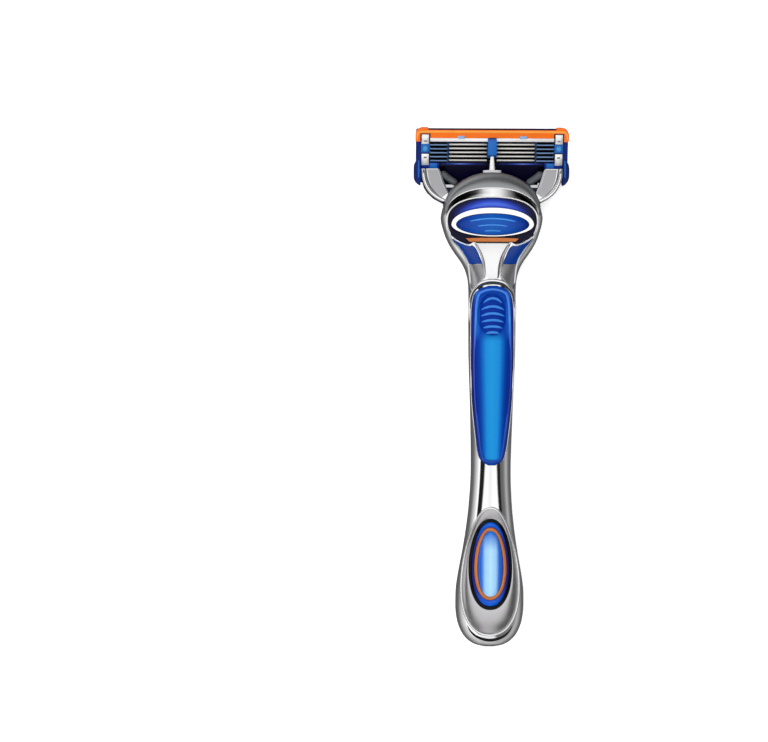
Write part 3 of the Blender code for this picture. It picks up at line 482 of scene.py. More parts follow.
def inlay_painted_shade(x, y):
    """Bright blue at the ends of the teardrop, with painted shade of navy down its sides."""
    return (abs(x) / 6.0).ramp((0.0, (0.002, 0.10, 0.62)), (0.42, (0.003, 0.07, 0.50)),
                               (0.68, (0.006, 0.014, 0.20)), (1.0, (0.003, 0.004, 0.05)))


CHROME = material("chrome_plate", (0.86, 0.86, 0.87), 0.07, 1.0, vary=0.02, grain=500.0,
                  bump=0.006, tint=0.01)
SOFT_CHROME = material("soft_chrome", (0.80, 0.80, 0.81), 0.20, 1.0, vary=0.03, grain=600.0,
                       bump=0.01, tint=0.02)
SATIN = material("satin_plate", (0.47, 0.47, 0.49), 0.36, 1.0, grain=700.0,
                 bump=0.04, stretch=(1.0, 0.15, 1.0))
STEEL = material("blade_steel", (0.80, 0.78, 0.74), 0.24, 1.0, vary=0.05, stretch=(0.05, 1.0, 1.0))
TIN = material("bent_aluminium", (0.92, 0.92, 0.91), 0.34, 0.7)
BLUE_GLOSS = material("blue_gloss", (0.002, 0.036, 0.24), 0.20, vary=0.04)
NAVY = material("navy_plastic", (0.003, 0.006, 0.045), 0.32, specular=0.2)
# Navy housing; its colour field paints shade between the arms.
HOUSING_NAVY = material("housing_navy", (0.003, 0.006, 0.045), 0.34, specular=0.12,
                        field=housing_painted_shade)
# Chrome whose colour field paints the band's reflection.
BAND_CHROME = material("band_chrome", (0.86, 0.86, 0.87), 0.12, 1.0, vary=0.02, grain=500.0,
                       bump=0.006, tint=0.01, field=band_painted_reflection)
DEEP_BLUE = material("deep_blue_plastic", (0.004, 0.025, 0.24), 0.30, specular=0.25)
BLACK = material("black_gloss", (0.002, 0.002, 0.003), 0.25, vary=0.05, specular=0.15)
# Near-black for the gap round the grip's head end: painted shadow.
GAP_PAINTED_SHADE = material("gap_painted_shade", (0.045, 0.05, 0.055), 0.35, 0.5, specular=0.1)
# Near-black steel for the blade supports: painted shade in the gaps between the blades.
SUPPORT_SHADE_STEEL = material("support_painted_shade", (0.020, 0.021, 0.024), 0.45, 0.5, specular=0.1)
DARK_GREY = material("dark_grey_metal", (0.10, 0.11, 0.12), 0.4, 0.6)
ORANGE = material("orange_plastic", (0.93, 0.17, 0.008), 0.34)
BRONZE = material("orange_anodised", (0.55, 0.17, 0.045), 0.34, 0.3)
# Lighter orange for the guard's top edge: painted highlight.
GUARD_EDGE_HIGHLIGHT = material("orange_edge_highlight", (0.95, 0.36, 0.05), 0.32)
WHITE = material("white_acetal", (0.88, 0.88, 0.86), 0.38)
PALE_GREY = material("pale_grey_plastic", (0.60, 0.61, 0.62), 0.42)
PALE_BLUE = material("pale_blue_strip", (0.45, 0.68, 0.88), 0.45, bump=0.15)
# Lighter blues for the ribs of the button and the thumb pad: painted highlight on the ribs.
RIB_HIGHLIGHT_BLUE = material("cap_rib_painted_highlight", (0.06, 0.30, 0.80), 0.30, vary=0.05)
PAD_RIB_HIGHLIGHT_BLUE = material("pad_rib_painted_highlight", (0.045, 0.24, 0.74), 0.34, vary=0.05, specular=0.15)
ELASTOMER = material("blue_elastomer", (0.010, 0.12, 0.52), 0.45, bump=0.12, grain=1600.0,
                     specular=0.07, field=grip_painted_light)
RIM_BLUE = material("periwinkle_rim_highlight", (0.035, 0.085, 0.50), 0.34, bump=0.08, grain=1600.0,
                    field=rim_painted_highlight)
PAD_BLUE = material("pad_blue", (0.001, 0.028, 0.28), 0.34, bump=0.08, grain=1600.0, specular=0.06)
BAR_BLUE = material("bar_blue", (0.014, 0.13, 0.48), 0.35, vary=0.05, specular=0.2)
RIB_NAVY = material("rear_rib_blue", (0.012, 0.04, 0.13), 0.35, vary=0.05, specular=0.2)
RAIL_BLUE = material("rail_blue", (0.03, 0.06, 0.36), 0.3, vary=0.05, specular=0.2, field=rail_field)
TAB_PALE = material("pale_tab", (0.26, 0.44, 0.72), 0.35, vary=0.05)
SLAT_BLUE = material("slat_blue", (0.15, 0.25, 0.45), 0.35, vary=0.05, specular=0.3)
TAB_BLUE = material("tab_blue", (0.06, 0.28, 0.58), 0.35, vary=0.05)
BRIGHT_STEEL = material("bright_steel", (0.96, 0.96, 0.96), 0.30, 0.4, vary=0.05)
BLADE_LINE = material("blade_line", (0.74, 0.73, 0.69), 0.34, 0.5, vary=0.05)
DOME_SATIN = material("dome_satin", (0.33, 0.34, 0.35), 0.36, 1.0, vary=0.05, grain=700.0, bump=0.02)
CAP_BLUE = material("cap_blue", (0.001, 0.055, 0.40), 0.30, vary=0.05, specular=0.15,
                    field=cap_painted_light)
INLAY_BLUE = material("inlay_blue", (0.003, 0.03, 0.3), 0.24, vary=0.04, specular=0.2,
                      field=inlay_painted_shade)
RING_WHITE = material("bright_ring", (0.93, 0.93, 0.94), 0.16, 1.0, vary=0.03, bump=0.01, tint=0.01)
SATIN_BUTT = material("satin_dish", (0.54, 0.53, 0.54), 0.30, 1.0, vary=0.05, grain=700.0, bump=0.03,
                      stretch=(0.15, 1.0, 1.0))
LENS = material("pale_blue_lens", (0.35, 0.62, 0.88), 0.12, coat=0.3, vary=0.03, field=lens_painted_highlight)
TRACK = material("button_track_blue", (0.01, 0.05, 0.4), 0.22, vary=0.04, specular=0.15,
                 field=track_painted_light)

FINISH = {
    "chrome": CHROME, "satin_metal": SATIN, "spring_steel": STEEL, "blade_steel": STEEL,
    "bent_metal": TIN, "blue_elastomer": DEEP_BLUE, "blue_gloss": BLUE_GLOSS,
    "navy_plastic": NAVY, "orange_plastic": BRONZE, "white_plastic": WHITE,
    "light_grey_plastic": PALE_GREY, "pale_blue": PALE_BLUE,
}
for part in frame["record"]["subparts"]:
    node = NODES[part["node"]]
    # The blade supports take the near-black steel, painted shade between the blades.
    look = SUPPORT_SHADE_STEEL if "blade_support" in part["node"] else FINISH[part["material_slot"]]
    node.data.materials.clear()
    node.data.materials.append(look)


# ---------------------------------------------------------------- handle

WINDOW_HALF = ((29.4, 1.2), (29.7, 1.6), (30.8, 1.8), (32.4, 1.9), (34.1, 2.15), (35.8, 2.65),
               (37.2, 3.3), (38.7, 4.2), (39.6, 4.9))
GRIP_HALF_WIDTH = ((-20.9, 0.9), (-20.3, 2.2), (-18.5, 3.4), (-14.5, 4.15), (-3.5, 5.3),
                   (8.0, 5.7), (19.0, 5.75), (24.0, 5.3), (26.2, 4.1), (27.1, 2.4), (27.4, 1.0))
REAR_GRIP_HALF_WIDTH = ((-24.0, 0.9), (-23.2, 2.4), (-20.0, 3.8), (-5.0, 4.7), (18.0, 4.9),
                        (26.0, 4.2), (28.4, 2.6), (29.2, 1.0))
GRIP_DEPTH = 3.3
REAR_GRIP_DEPTH = 2.2
GRIP_GAP = 0.12
PAD_CENTRE_Y = 19.65
PAD_HALF = (4.3, 5.95)
PAD_WALL = 0.45
PAD_RIBS = ((4.45, 2.5, 1.3), (2.25, 3.1, 0.95), (0.35, 3.2, 0.75), (-1.45, 3.0, 0.55),
            (-3.15, 2.6, 0.45), (-4.75, 1.8, 0.25))     # y, half length and bow of each
GROOVE_PITCH = 2.4
DECK_Z = 12.2
BUTT_Y = -50.0
BEZEL = (7.6, 17.0, -17.2, 0.5)   # half width, top, bottom and lean of each, about BUTT_Y


def section(y, count=96):
    """Rounded section of the handle at y."""
    half = smooth(HALF_WIDTH, y)
    high, low = smooth(TOP_Z, y), smooth(BOTTOM_Z, y)
    power = 2.0 / smooth(SQUARENESS, y)
    ring = []
    for i in range(count):
        angle = 2.0 * math.pi * (i + 0.5) / count
        cos, sin = math.cos(angle), math.sin(angle)
        x = half * math.copysign(abs(cos) ** power, cos)
        z = (high + low) / 2.0 + (high - low) / 2.0 * math.copysign(abs(sin) ** power, sin)
        ring.append((x, y, max(z, 0.0)))
    return ring


def field_outline(grow=0.0):
    """Field round the release button, from the neck window up and over to the other side."""
    right = [(5.3, 39.4 - grow), (6.3, 38.9 - grow), (8.7 + grow, 39.7 - grow),
             (10.5 + grow, 40.8 - grow), (11.6 + grow, 42.6), (12.05 + grow, 44.6),
             (11.9 + grow, 46.8), (10.9 + grow, 48.9 + grow), (9.2 + grow, 50.1 + grow),
             (7.2, 50.9 + grow), (4.4, 51.5 + grow), (2.0, 51.7 + grow)]
    return both_sides(flat_curve(right, 40), 0)


def grip_sections(stations, depth, top, grow=GRIP_GAP, steps=60):
    """Sections of the hollow that a grip sits in."""
    sign = 1.0 if top else -1.0
    rings = []
    low, high = stations[0][0], stations[-1][0]
    inner = spread(low, high, steps)[1:-1]
    for y in [low - grow, low + 0.15] + inner + [high - 0.15, high + grow]:
        half = smooth(stations, min(max(y, low), high)) + grow
        floor = skin(0.0, y, top) - sign * (depth + grow)
        ring = []
        for x in spread(-half, half, 25):
            height = skin(x, y, top) + sign * 3.0
            if sign * (height - floor) < 0.4:
                height = floor + sign * 0.4
            ring.append((x, y, height))
        rings.append(ring + [(x, y, floor) for x in spread(half, -half, 5)])
    return rings


def butt_matrix():
    """Local plane of the butt trim."""
    slope = math.atan2(skin(0.0, -38.0) - skin(0.0, -62.0), 24.0)
    return Matrix.Translation((0.0, BUTT_Y * MM, 12.1 * MM)) @ Matrix.Rotation(slope, 4, 'X')


def teardrop(half_width, top, bottom, lean=0.2, grow=0.0, count=48):
    """Teardrop in the butt's plane; lean is how much it narrows towards the grip."""
    right = []
    for i in range(count + 1):
        turn = math.pi * i / count
        along = 0.5 - 0.5 * math.cos(turn)
        y = bottom - grow + (top - bottom + 2.0 * grow) * along
        swell = max(math.sin(turn), 0.0) ** 0.9 * (1.0 + lean * (0.45 - along))
        right.append((half_width * swell + grow * math.sin(turn), y))
    right[0] = (0.0, right[0][1])
    right[-1] = (0.0, right[-1][1])
    return both_sides(right)[:-1]


def make_shell():
    ys = [-71.0, -70.9, -70.7, -70.4, -70.0, -69.5, -68.9, -68.2, -67.4, -66.5]
    ys += spread(-65.7, 49.0, 190)
    shell = loft("handle_shell", [section(y) for y in ys])
    window = flat_curve([(half, y) for y, half in WINDOW_HALF], 30)
    recess = slab("cut_butt", teardrop(*BEZEL, GRIP_GAP), -4.02, 2.0)
    recess.data.transform(butt_matrix())
    for tool in (
            slab("cut_window", both_sides(window, 0), -10.0, 30.0),
            loft("cut_grip", grip_sections(GRIP_HALF_WIDTH, GRIP_DEPTH, True)),
            loft("cut_rear", grip_sections(REAR_GRIP_HALF_WIDTH, REAR_GRIP_DEPTH, False)),
            recess,
            slab("cut_field", field_outline(GRIP_GAP), DECK_Z + 0.02, 20.0),
            box("cut_bay", (-11.3, 41.0, 7.1), (11.3, 52.0, 22.0)),
            box("cut_bay_rear", (-10.05, 41.0, 5.5), (10.05, 46.2, 8.0)),
            box("cut_bay_front", (-10.05, 45.7, 3.9), (10.05, 52.0, 8.0))):
        carve(shell, tool)
    finish(shell, CHROME, "handle", "chrome", "handle_frame")


def make_grip():
    rows = []
    low, high = GRIP_HALF_WIDTH[0][0], GRIP_HALF_WIDTH[-1][0]
    for y in eased(low, high, 220):
        half = smooth(GRIP_HALF_WIDTH, y)
        end = step(0.0, 3.0, min(y - low, high - y))
        row = []
        for i in range(73):
            share = -1.0 + 2.0 * i / 72
            x, across = half * share, abs(share)
            bead_rise = 0.50 * math.exp(-((across - 0.86) / 0.075) ** 2)
            scoop = -0.55 * (1.0 - step(0.15, 0.80, across))
            edge = -0.30 * step(0.93, 1.0, across)
            z = skin(x, y) + 0.25 + end * (bead_rise + scoop) + edge
            pad_share = math.hypot(x / PAD_HALF[0], (y - PAD_CENTRE_Y) / PAD_HALF[1])
            row.append((x, y, z - 0.75 * (1.0 - step(0.86, 1.0, pad_share))))
        rows.append(row)
    grip = patch("front_grip_skin", rows, lambda x, y, z: skin(0.0, y) - GRIP_DEPTH, 60.0)
    finish(grip, ELASTOMER, "handle", "blue_elastomer", "front_grip")


def make_pad():
    """Floor of the thumb oval with its ribs."""
    rows = []
    for i in range(49):
        turn = math.pi * i / 48
        y = PAD_CENTRE_Y - (PAD_HALF[1] - PAD_WALL) * math.cos(turn)
        half = max((PAD_HALF[0] - PAD_WALL) * math.sin(turn), 0.05)
        rows.append([(x, y, skin(x, y) - 0.62) for x in spread(-half, half, 25)])
    floor = patch("thumb_pad_floor", rows, lambda x, y, z: skin(0.0, y) - 1.9, 60.0)
    finish(floor, PAD_BLUE, "handle", "blue_gloss", "thumb_pad")
    for i, (offset, half, sag) in enumerate(PAD_RIBS):
        path = [(x, PAD_CENTRE_Y + offset - sag * (x / half) ** 2) for x in spread(-half, half, 25)]
        skin_bead("thumb_rib_%d" % (i + 1), path, -0.50, 0.35, PAD_RIB_HIGHLIGHT_BLUE, "blue_gloss",
                  taper=0.25, flat=0.9)


def make_grip_rims():
    """Raised bead inside the grip's edge with a painted periwinkle highlight, and the chrome arch round
    its head end.
    """
    right = [(0.0, -20.0)]
    for y in spread(-19.6, 25.4, 60):
        inset = 0.85 + 0.40 * step(5.0, 20.0, y)
        right.append((max(smooth(GRIP_HALF_WIDTH, y) - inset, 0.4), y))
    right += [(2.0, 26.15), (0.0, 26.45)]
    skin_bead("grip_rim", flat_curve(both_sides(right)[:-1], 260, True), 0.42, 0.32, RIM_BLUE,
              "blue_elastomer", True, flat=0.8)
    arch = [(6.25, 18.0), (6.2, 22.0), (5.75, 24.9), (4.6, 27.0), (2.9, 28.4), (0.0, 28.95)]
    path = [(x, y, skin(min(max(x, -6.1), 6.1), y) - 0.02)
            for x, y in flat_curve(both_sides(arch), 120)]
    finish(bead("grip_arch", path, 0.42, False, 0.35, 0.9), RING_WHITE, "handle", "chrome")
    # Dark bead between the grip's head end and the chrome arch: painted shadow.
    shade = [(5.95, 21.5), (5.6, 24.4), (4.55, 26.4), (2.7, 27.75), (0.0, 28.2)]
    skin_bead("grip_gap_shadow", flat_curve(both_sides(shade), 100), -0.02, 0.42, GAP_PAINTED_SHADE, taper=0.45,
              flat=0.5)
    for sign, hand in HANDS:
        edge = [(sign * (smooth(GRIP_HALF_WIDTH, y) + 0.16), y) for y in spread(-19.6, 14.0, 90)]
        skin_bead("grip_edge_" + hand, edge, 0.02, 0.17, RING_WHITE, taper=0.2, flat=0.9)


def make_rear_grip():
    rows = []
    low, high = REAR_GRIP_HALF_WIDTH[0][0], REAR_GRIP_HALF_WIDTH[-1][0]
    for y in eased(low, high, 260):
        half = smooth(REAR_GRIP_HALF_WIDTH, y)
        ends = step(low + 2.0, low + 4.0, y) * (1.0 - step(high - 4.0, high - 2.0, y))
        wave = 0.35 * max(0.0, math.sin(y * 2.0 * math.pi / GROOVE_PITCH)) ** 2 * ends
        row = []
        for share in spread(-1.0, 1.0, 33):
            groove = wave * (1.0 - step(0.70, 0.86, abs(share)))
            edge = 0.2 * step(0.92, 1.0, abs(share))
            row.append((half * share, y, skin(half * share, y, False) - 0.25 + groove + edge))
        rows.append(row)
    rear = patch("rear_grip_skin", rows, lambda x, y, z: skin(0.0, y, False) + REAR_GRIP_DEPTH, 60.0)
    finish(rear, DEEP_BLUE, "handle", "blue_elastomer", "rear_grip")


make_shell()
make_grip()
make_pad()
make_grip_rims()
make_rear_grip()


# ---------------------------------------------------------------- butt trim

BUTT_RIM = (7.85, 17.35, -17.5, 0.5)
INLAY = (6.0, 14.4, -10.6)
INNER = (5.15, 13.4, -9.6)
RING = (4.45, 12.0, -7.9)
LENS_EDGE = (3.5, 10.95, -6.95)
LENS_MIDDLE = (0.3, 6.0, -2.0)


def between(first, second, share):
    """Outline of the butt trim part way between two, in the razor's x and y."""
    return [(a[0] + (b[0] - a[0]) * share, BUTT_Y + a[1] + (b[1] - a[1]) * share)
            for a, b in zip(teardrop(*first), teardrop(*second))]


def butt_rings(outer, inner, profile):
    """Rings on the handle's skin; profile lists (share from outer to inner, sink below the skin)."""
    return [[(x, y, skin(x, y) - sink) for x, y in between(outer, inner, share)]
            for share, sink in profile]


def collar_piece(name, outer, inner, profile, depth, look, slot, node):
    """Closed teardrop ring that reaches depth below the skin."""
    profile = [(profile[0][0], depth)] + profile + [(profile[-1][0], depth)]
    finish(loft(name, butt_rings(outer, inner, profile), 50.0, True), look, "handle", slot, *node)


def make_butt():
    dish = [(0.0, 0.34)] + [(t, 0.34 + 0.30 * t * t) for t in spread(0.1, 0.9, 9)] + [(1.0, 0.72)]
    collar_piece("butt_dish", BEZEL, INLAY, dish, 2.6, SATIN_BUTT, "satin_metal", ("butt_bezel",))
    collar_piece("butt_black_line", INLAY, INNER,
                 [(0.02, 0.9), (0.12, 0.70), (0.88, 0.70), (1.0, 0.85)], 2.8, BLACK,
                 "navy_plastic", ())
    collar_piece("butt_inlay_skin", INNER, RING,
                 [(0.0, 0.95), (0.15, 0.74), (0.5, 0.68), (0.85, 0.74), (0.98, 0.9)], 2.8,
                 INLAY_BLUE, "navy_plastic", ("butt_inlay",))
    collar_piece("butt_ring_skin", RING, LENS_EDGE,
                 [(0.0, 0.9), (0.08, 0.66), (0.3, 0.52), (0.6, 0.50), (0.9, 0.62), (1.0, 0.85)],
                 2.8, BRONZE, "orange_plastic", ("butt_ring",))
    rings = butt_rings(LENS_EDGE, LENS_MIDDLE, ((0.0, 2.6), (0.0, 0.85), (0.06, 0.68), (0.2, 0.52),
                                                (0.45, 0.42), (0.75, 0.38), (1.0, 0.37)))
    finish(loft("butt_lens_skin", rings, 50.0), LENS, "handle", "pale_blue", "butt_lens")
    skin_bead("butt_rim", between(BUTT_RIM, BUTT_RIM, 0.0), -0.02, 0.36, RING_WHITE, closed=True)
    # Flat black bead along the groove at the butt's end: painted shade of the groove.
    groove = [(-6.1, -65.0), (-5.1, -66.6), (-3.2, -68.1), (0.0, -68.85)]
    skin_bead("butt_groove_shade", flat_curve(both_sides(groove), 60), 0.02, 0.56, BLACK,
              "navy_plastic", taper=0.45, flat=0.3)


make_butt()


# ---------------------------------------------------------------- head of the handle

P_Y = 59.1
TILT = math.radians(18.0)
P_Z = 3.3 * math.sin(TILT) + 5.25 * math.cos(TILT)
PLUNGER_Z = P_Z + 4.5
TRACK_TOP = 12.85
DOME_EDGE = ((13.35, 47.4), (13.3, 48.6), (13.0, 50.3), (12.4, 52.0), (11.5, 53.6), (10.2, 55.1),
             (8.6, 56.3), (6.6, 57.35), (4.4, 58.15), (2.2, 58.6), (0.0, 58.75))
DOME_RIDGE = ((12.75, 46.5), (12.6, 47.9), (12.05, 49.3), (11.05, 50.6), (9.75, 51.7), (8.25, 52.55),
              (6.7, 53.2), (5.05, 53.65), (3.4, 53.95), (1.7, 54.1), (0.0, 54.15))
DOME_LIP = ((12.3, 45.6), (12.15, 46.8), (11.55, 48.2), (10.55, 49.3), (9.2, 50.2), (7.8, 50.85),
            (6.2, 51.3), (4.6, 51.6), (3.0, 51.75), (1.5, 51.85), (0.0, 51.9))
FIELD_RIM = ((11.9, 42.3), (12.25, 43.6), (12.3, 45.0), (12.1, 46.9), (11.5, 48.3), (10.5, 49.4),
             (9.2, 50.3), (7.8, 50.9), (6.2, 51.4), (4.6, 51.7), (3.0, 51.85), (1.5, 51.95), (0.0, 52.0))
RIDGE_Z = 13.7
LIP_Z = 12.84
HOOD_FOOT_Z = 11.2


def mix(first, second, share):
    return tuple(a + (b - a) * share for a, b in zip(first, second))


def make_dome():
    edge, ridge, lip = (both_sides(flat_curve(p)) for p in (DOME_EDGE, DOME_RIDGE, DOME_LIP))
    hood, band, crests = [], [], []
    for (ex, ey), (rx, ry), (lx, ly) in zip(edge, ridge, lip):
        front = step(47.0, 54.0, ey)
        low = 8.3 + 0.75 * step(55.0, 58.4, ey)
        crest = RIDGE_Z - 0.45 * (1.0 - front)
        crests.append((rx, ry, crest - 0.02))
        ring = [(ex * 0.985, ey - 0.25 * front, low), (ex, ey, low + 0.25)]
        for t in spread(0.08, 1.0, 14):
            bulge = math.sin(t * math.pi / 2.0) ** 0.62
            ring.append((*mix((ex, ey), (rx, ry), t ** 1.25),
                         HOOD_FOOT_Z + (crest - HOOD_FOOT_Z) * bulge))
        inner = mix((rx, ry), (lx, ly), 0.3)
        hood.append(ring + [(*inner, crest - 0.6), (lx * 0.985, ly - 0.12, 12.1),
                            (lx * 0.985, ly - 0.12, low)])
        strip = [(*mix((rx, ry), (lx, ly), t),
                  crest - 0.02 + (LIP_Z - crest) * t - 0.10 * math.sin(t * math.pi))
                 for t in spread(0.0, 1.0, 12)]
        band.append(strip + [(lx, ly, LIP_Z - 0.6), (*inner, crest - 0.75)])
    dome = loft("hub_dome_skin", hood, 40.0)
    carve(dome, slab("under_dome", [(x * 0.99, y - 0.1) for x, y in lip], 8.3, 11.9), 'UNION')
    carve(dome, rod("cut_chamber", (0, 47.0, PLUNGER_Z), (0, 56.8, PLUNGER_Z), 1.3))
    carve(dome, rod("cut_way", (0, 56.0, PLUNGER_Z), (0, 60.0, PLUNGER_Z), 0.95))
    carve(dome, box("cut_rear", (-14.0, 44.0, 8.0), (14.0, 49.1, 12.8)), 'DIFFERENCE', 40.0)
    finish(dome, DOME_SATIN, "handle", "chrome", "hub_dome")
    finish(loft("dome_band", band, 40.0), BAND_CHROME, "handle", "chrome")
    finish(bead("dome_ridge", crests[8:-8], 0.16, False, 0.3), BRIGHT_STEEL, "handle", "chrome")
    path = [(x, y - 0.22, TRACK_TOP) for x, y in both_sides(flat_curve(FIELD_RIM, 60))]
    finish(bead("field_rim", path, 0.20, False, 0.05), BRIGHT_STEEL, "handle", "chrome")


WING_OUTER = ((12.6, 50.6), (14.1, 51.0), (15.7, 51.9), (17.2, 53.2), (18.3, 55.0), (18.95, 57.0),
              (19.2, 59.6))
WING_INNER = ((14.3, 59.6), (13.75, 58.4), (13.35, 57.0), (12.8, 55.4), (12.2, 54.0), (11.7, 52.8),
              (11.6, 51.8))
WING_TOP = ((59.6, 10.5), (54.0, 11.25))
STRUT = ((13.9, 58.9, 8.9), (12.2, 57.4, 8.9), (9.4, 55.5, 8.9))


def wing_height(y):
    (front_y, front_z), (back_y, back_z) = WING_TOP
    return front_z + (back_z - front_z) * min((y - front_y) / (back_y - front_y), 1.25)


def wing_floor(x, y, z):
    """Underside of a wing; it rises at the front to clear the cartridge swung right back."""
    return max(8.05, 9.74 + 1.19 * (y - 59.6))


def make_wing(sign, hand):
    pairs = list(zip(flat_curve(WING_OUTER, 25), reversed(flat_curve(WING_INNER, 25))))
    rows = []
    for outer, inner in pairs:
        row = []
        for t in spread(0.0, 1.0, 21):
            x, y = mix(outer, inner, t)
            drop = 0.85 - 0.25 * step(56.5, 59.6, y)
            z = wing_height(y) + 0.05 - drop * (1.0 - step(0.0, 0.13, t))
            z -= 0.30 * step(0.13, 0.26, t) + 0.35 * step(0.93, 1.0, t)
            row.append((sign * x, y, z))
        rows.append(row)
    finish(patch("wing_" + hand, rows, wing_floor), CHROME, "handle", "chrome")
    rows = [[(sign * x, y - 0.15, wing_height(y) - 0.20)
             for x, y in (mix(outer, inner, t) for t in spread(0.30, 0.90, 9))]
            for outer, inner in pairs[4:]]
    panel = patch("wing_panel_skin_" + hand, rows, lambda x, y, z: z - 0.35)
    finish(panel, SATIN, "handle", "satin_metal", "wing_panel_" + hand)
    rim = [(sign * (x - 0.42), y + 0.12, wing_height(y) - 0.10) for x, y in flat_curve(WING_OUTER, 40)]
    finish(bead("wing_rim_" + hand, rim, 0.52, False, 0.12, 0.7), RING_WHITE, "handle", "chrome")
    path = curve_through([(sign * x, y, z) for x, y, z in STRUT], 14)
    finish(bead("strut_" + hand, path, 0.95, False, 0.12, 0.45), DARK_GREY, "handle", "chrome")


NECK_OUT = ((26.2, 5.35), (28.0, 5.75), (30.0, 6.0), (32.0, 6.25), (33.6, 6.6), (35.1, 7.15),
            (37.2, 8.5), (39.3, 10.1), (40.4, 11.0))
NECK_IN = ((26.2, 5.1), (27.3, 4.6), (28.4, 3.7), (29.6, 2.0), (30.75, 2.1), (32.4, 2.2),
           (33.3, 2.6), (34.1, 2.85), (35.3, 3.35), (37.2, 4.15), (38.3, 5.1), (38.9, 6.9),
           (39.8, 9.3), (40.4, 10.9))
NECK_TOP = ((5.2, 38.75), (6.2, 38.45), (7.6, 38.85), (8.9, 39.4), (10.2, 40.2), (11.2, 41.2))


def neck_patch(name, sign, start, end, look, slot, *nodes):
    """Inlay on a neck arm, laid in the skin between the window and the outer chrome."""
    rows = []
    for y in spread(start, end, 41):
        inner, outer = smooth(NECK_IN, y), smooth(NECK_OUT, y)
        row = []
        for t in spread(0.0, 1.0, 13):
            x = inner + (outer - inner) * t
            edge = 0.14 * (1.0 - step(0.0, 0.10, min(t, 1.0 - t)))
            row.append((sign * x, y, skin(x, y) + 0.10 - edge))
        rows.append(row)
    finish(patch(name, rows, lambda x, y, z: z - 0.8), look, "handle", slot, *nodes)


def make_neck(sign, hand):
    neck_patch("neck_blue_" + hand, sign, 33.4, 40.3, BLUE_GLOSS, "blue_gloss",
               "neck_inlay_" + hand)
    neck_patch("neck_satin_" + hand, sign, 26.3, 33.3, SATIN, "satin_metal")
    outer = [(sign * (smooth(NECK_OUT, y) + 0.22), y) for y in spread(26.0, 41.6, 50)]
    skin_bead("neck_rim_" + hand, outer, 0.06, 0.24, CHROME, taper=0.1)
    top = [(sign * x, y) for x, y in flat_curve(NECK_TOP, 30)]
    skin_bead("neck_line_" + hand, top, 0.08, 0.16, BRIGHT_STEEL, taper=0.1)
    edge = [(sign * (smooth(WINDOW_HALF, y) + 0.36), y) for y in spread(30.0, 39.2, 40)]
    skin_bead("window_rim_" + hand, edge, 0.0, 0.32, SOFT_CHROME, taper=0.1)


RING_MID = 44.1
RING_OUT = (11.15, 4.6, 3.2)       # half width, rise above and drop below the middle line
CAP_OUT = (9.8, 2.95, 2.85)
CAP_GAP = 0.06
BUTTON_RIBS = ((45.65, 6.3, 0.80, 0.20), (43.95, 4.6, 0.45, 0.18), (42.4, 2.3, 0.12, 0.16))


def lens_shape(half, rise, drop, count=96):
    points = []
    for i in range(count):
        turn = 2.0 * math.pi * i / count
        sin, cos = math.sin(turn), math.cos(turn)
        x = half * math.copysign(abs(cos) ** 0.96, cos)
        points.append((x, RING_MID + (rise if sin > 0.0 else drop) * sin))
    return points


def mixed_rings(first, second, profile):
    """Rings at (share, z), each part way from one outline to the other."""
    return [[(*mix(a, b, share), z) for a, b in zip(first, second)] for share, z in profile]


def make_button():
    inner = lens_shape(*(size + CAP_GAP for size in CAP_OUT))
    rings = mixed_rings(lens_shape(*RING_OUT), inner, (
        (0.0, 13.1), (0.0, 14.95), (0.05, 15.08), (0.5, 15.12), (0.95, 15.08), (1.0, 14.95),
        (1.0, 13.1)))
    finish(loft("button_ring_skin", rings, 50.0, True), RING_WHITE, "button", "chrome",
           "button_ring")
    rings = mixed_rings(lens_shape(*CAP_OUT), lens_shape(0.5, 0.15, 0.12), (
        (0.0, 13.1), (0.0, 14.9), (0.03, 15.15), (0.10, 15.40), (0.25, 15.62), (0.50, 15.75),
        (0.75, 15.80), (1.0, 15.80)))
    finish(loft("button_cap_skin", rings, 50.0), CAP_BLUE, "button", "blue_gloss", "button_cap")
    for i, (y, half, bow, radius) in enumerate(BUTTON_RIBS):
        path = [(x, y - bow * (x / half) ** 2, 15.72 - 0.10 * (x / half) ** 2)
                for x in spread(-half, half, 31)]
        finish(bead("button_rib_%d" % (i + 1), path, radius, False, 0.12), RIB_HIGHLIGHT_BLUE, "button",
               "blue_gloss")


def make_track():
    outline = field_outline()
    rings = mixed_rings(outline, [(0.0, 45.4)] * len(outline), (
        (0.0, 12.27), (0.0, 12.70), (0.015, 12.80), (0.05, 12.76), (0.12, 12.66), (0.22, 12.62)))
    field = loft("button_field", rings, 50.0)
    carve(field, box("cut_slot", (-2.8, 41.6, 10.0), (2.8, 48.1, 20.0)), 'DIFFERENCE', 50.0)
    finish(field, TRACK, "handle", "blue_gloss", "button_track")


make_dome()
for hand_sign, hand_name in HANDS:
    make_wing(hand_sign, hand_name)
    make_neck(hand_sign, hand_name)
make_button()
make_track()


# ---------------------------------------------------------------- cartridge
# Drawn about the pivot axis in (x, u, w): u runs along the blades' face away from the handle, and
# w points out of the back of the cartridge.

CART = Matrix.Translation((0.0, P_Y * MM, P_Z * MM)) @ Matrix.Rotation(TILT, 4, 'X')
HOUSING_HALF_X = 20.7
HOUSING_CORNER_R = 1.9
BACK_W = 1.5
FACE_W = -4.9
BLADE_PITCH = 1.1
LOBE_PROFILE = ((19.4, 3.66), (19.55, 3.7), (19.9, 3.6), (20.3, 3.35), (20.7, 2.95), (21.0, 2.5),
                (21.2, 2.05), (21.3, 1.6))          # x and radius


def fit(item, look, slot, *nodes, edge=0.0, body="cartridge"):
    """Rounds a piece drawn about the pivot, tilts it into place and finishes it."""
    if edge:
        bevel(item, edge)
    item.data.transform(CART)
    finish(item, look, body, slot, *nodes)


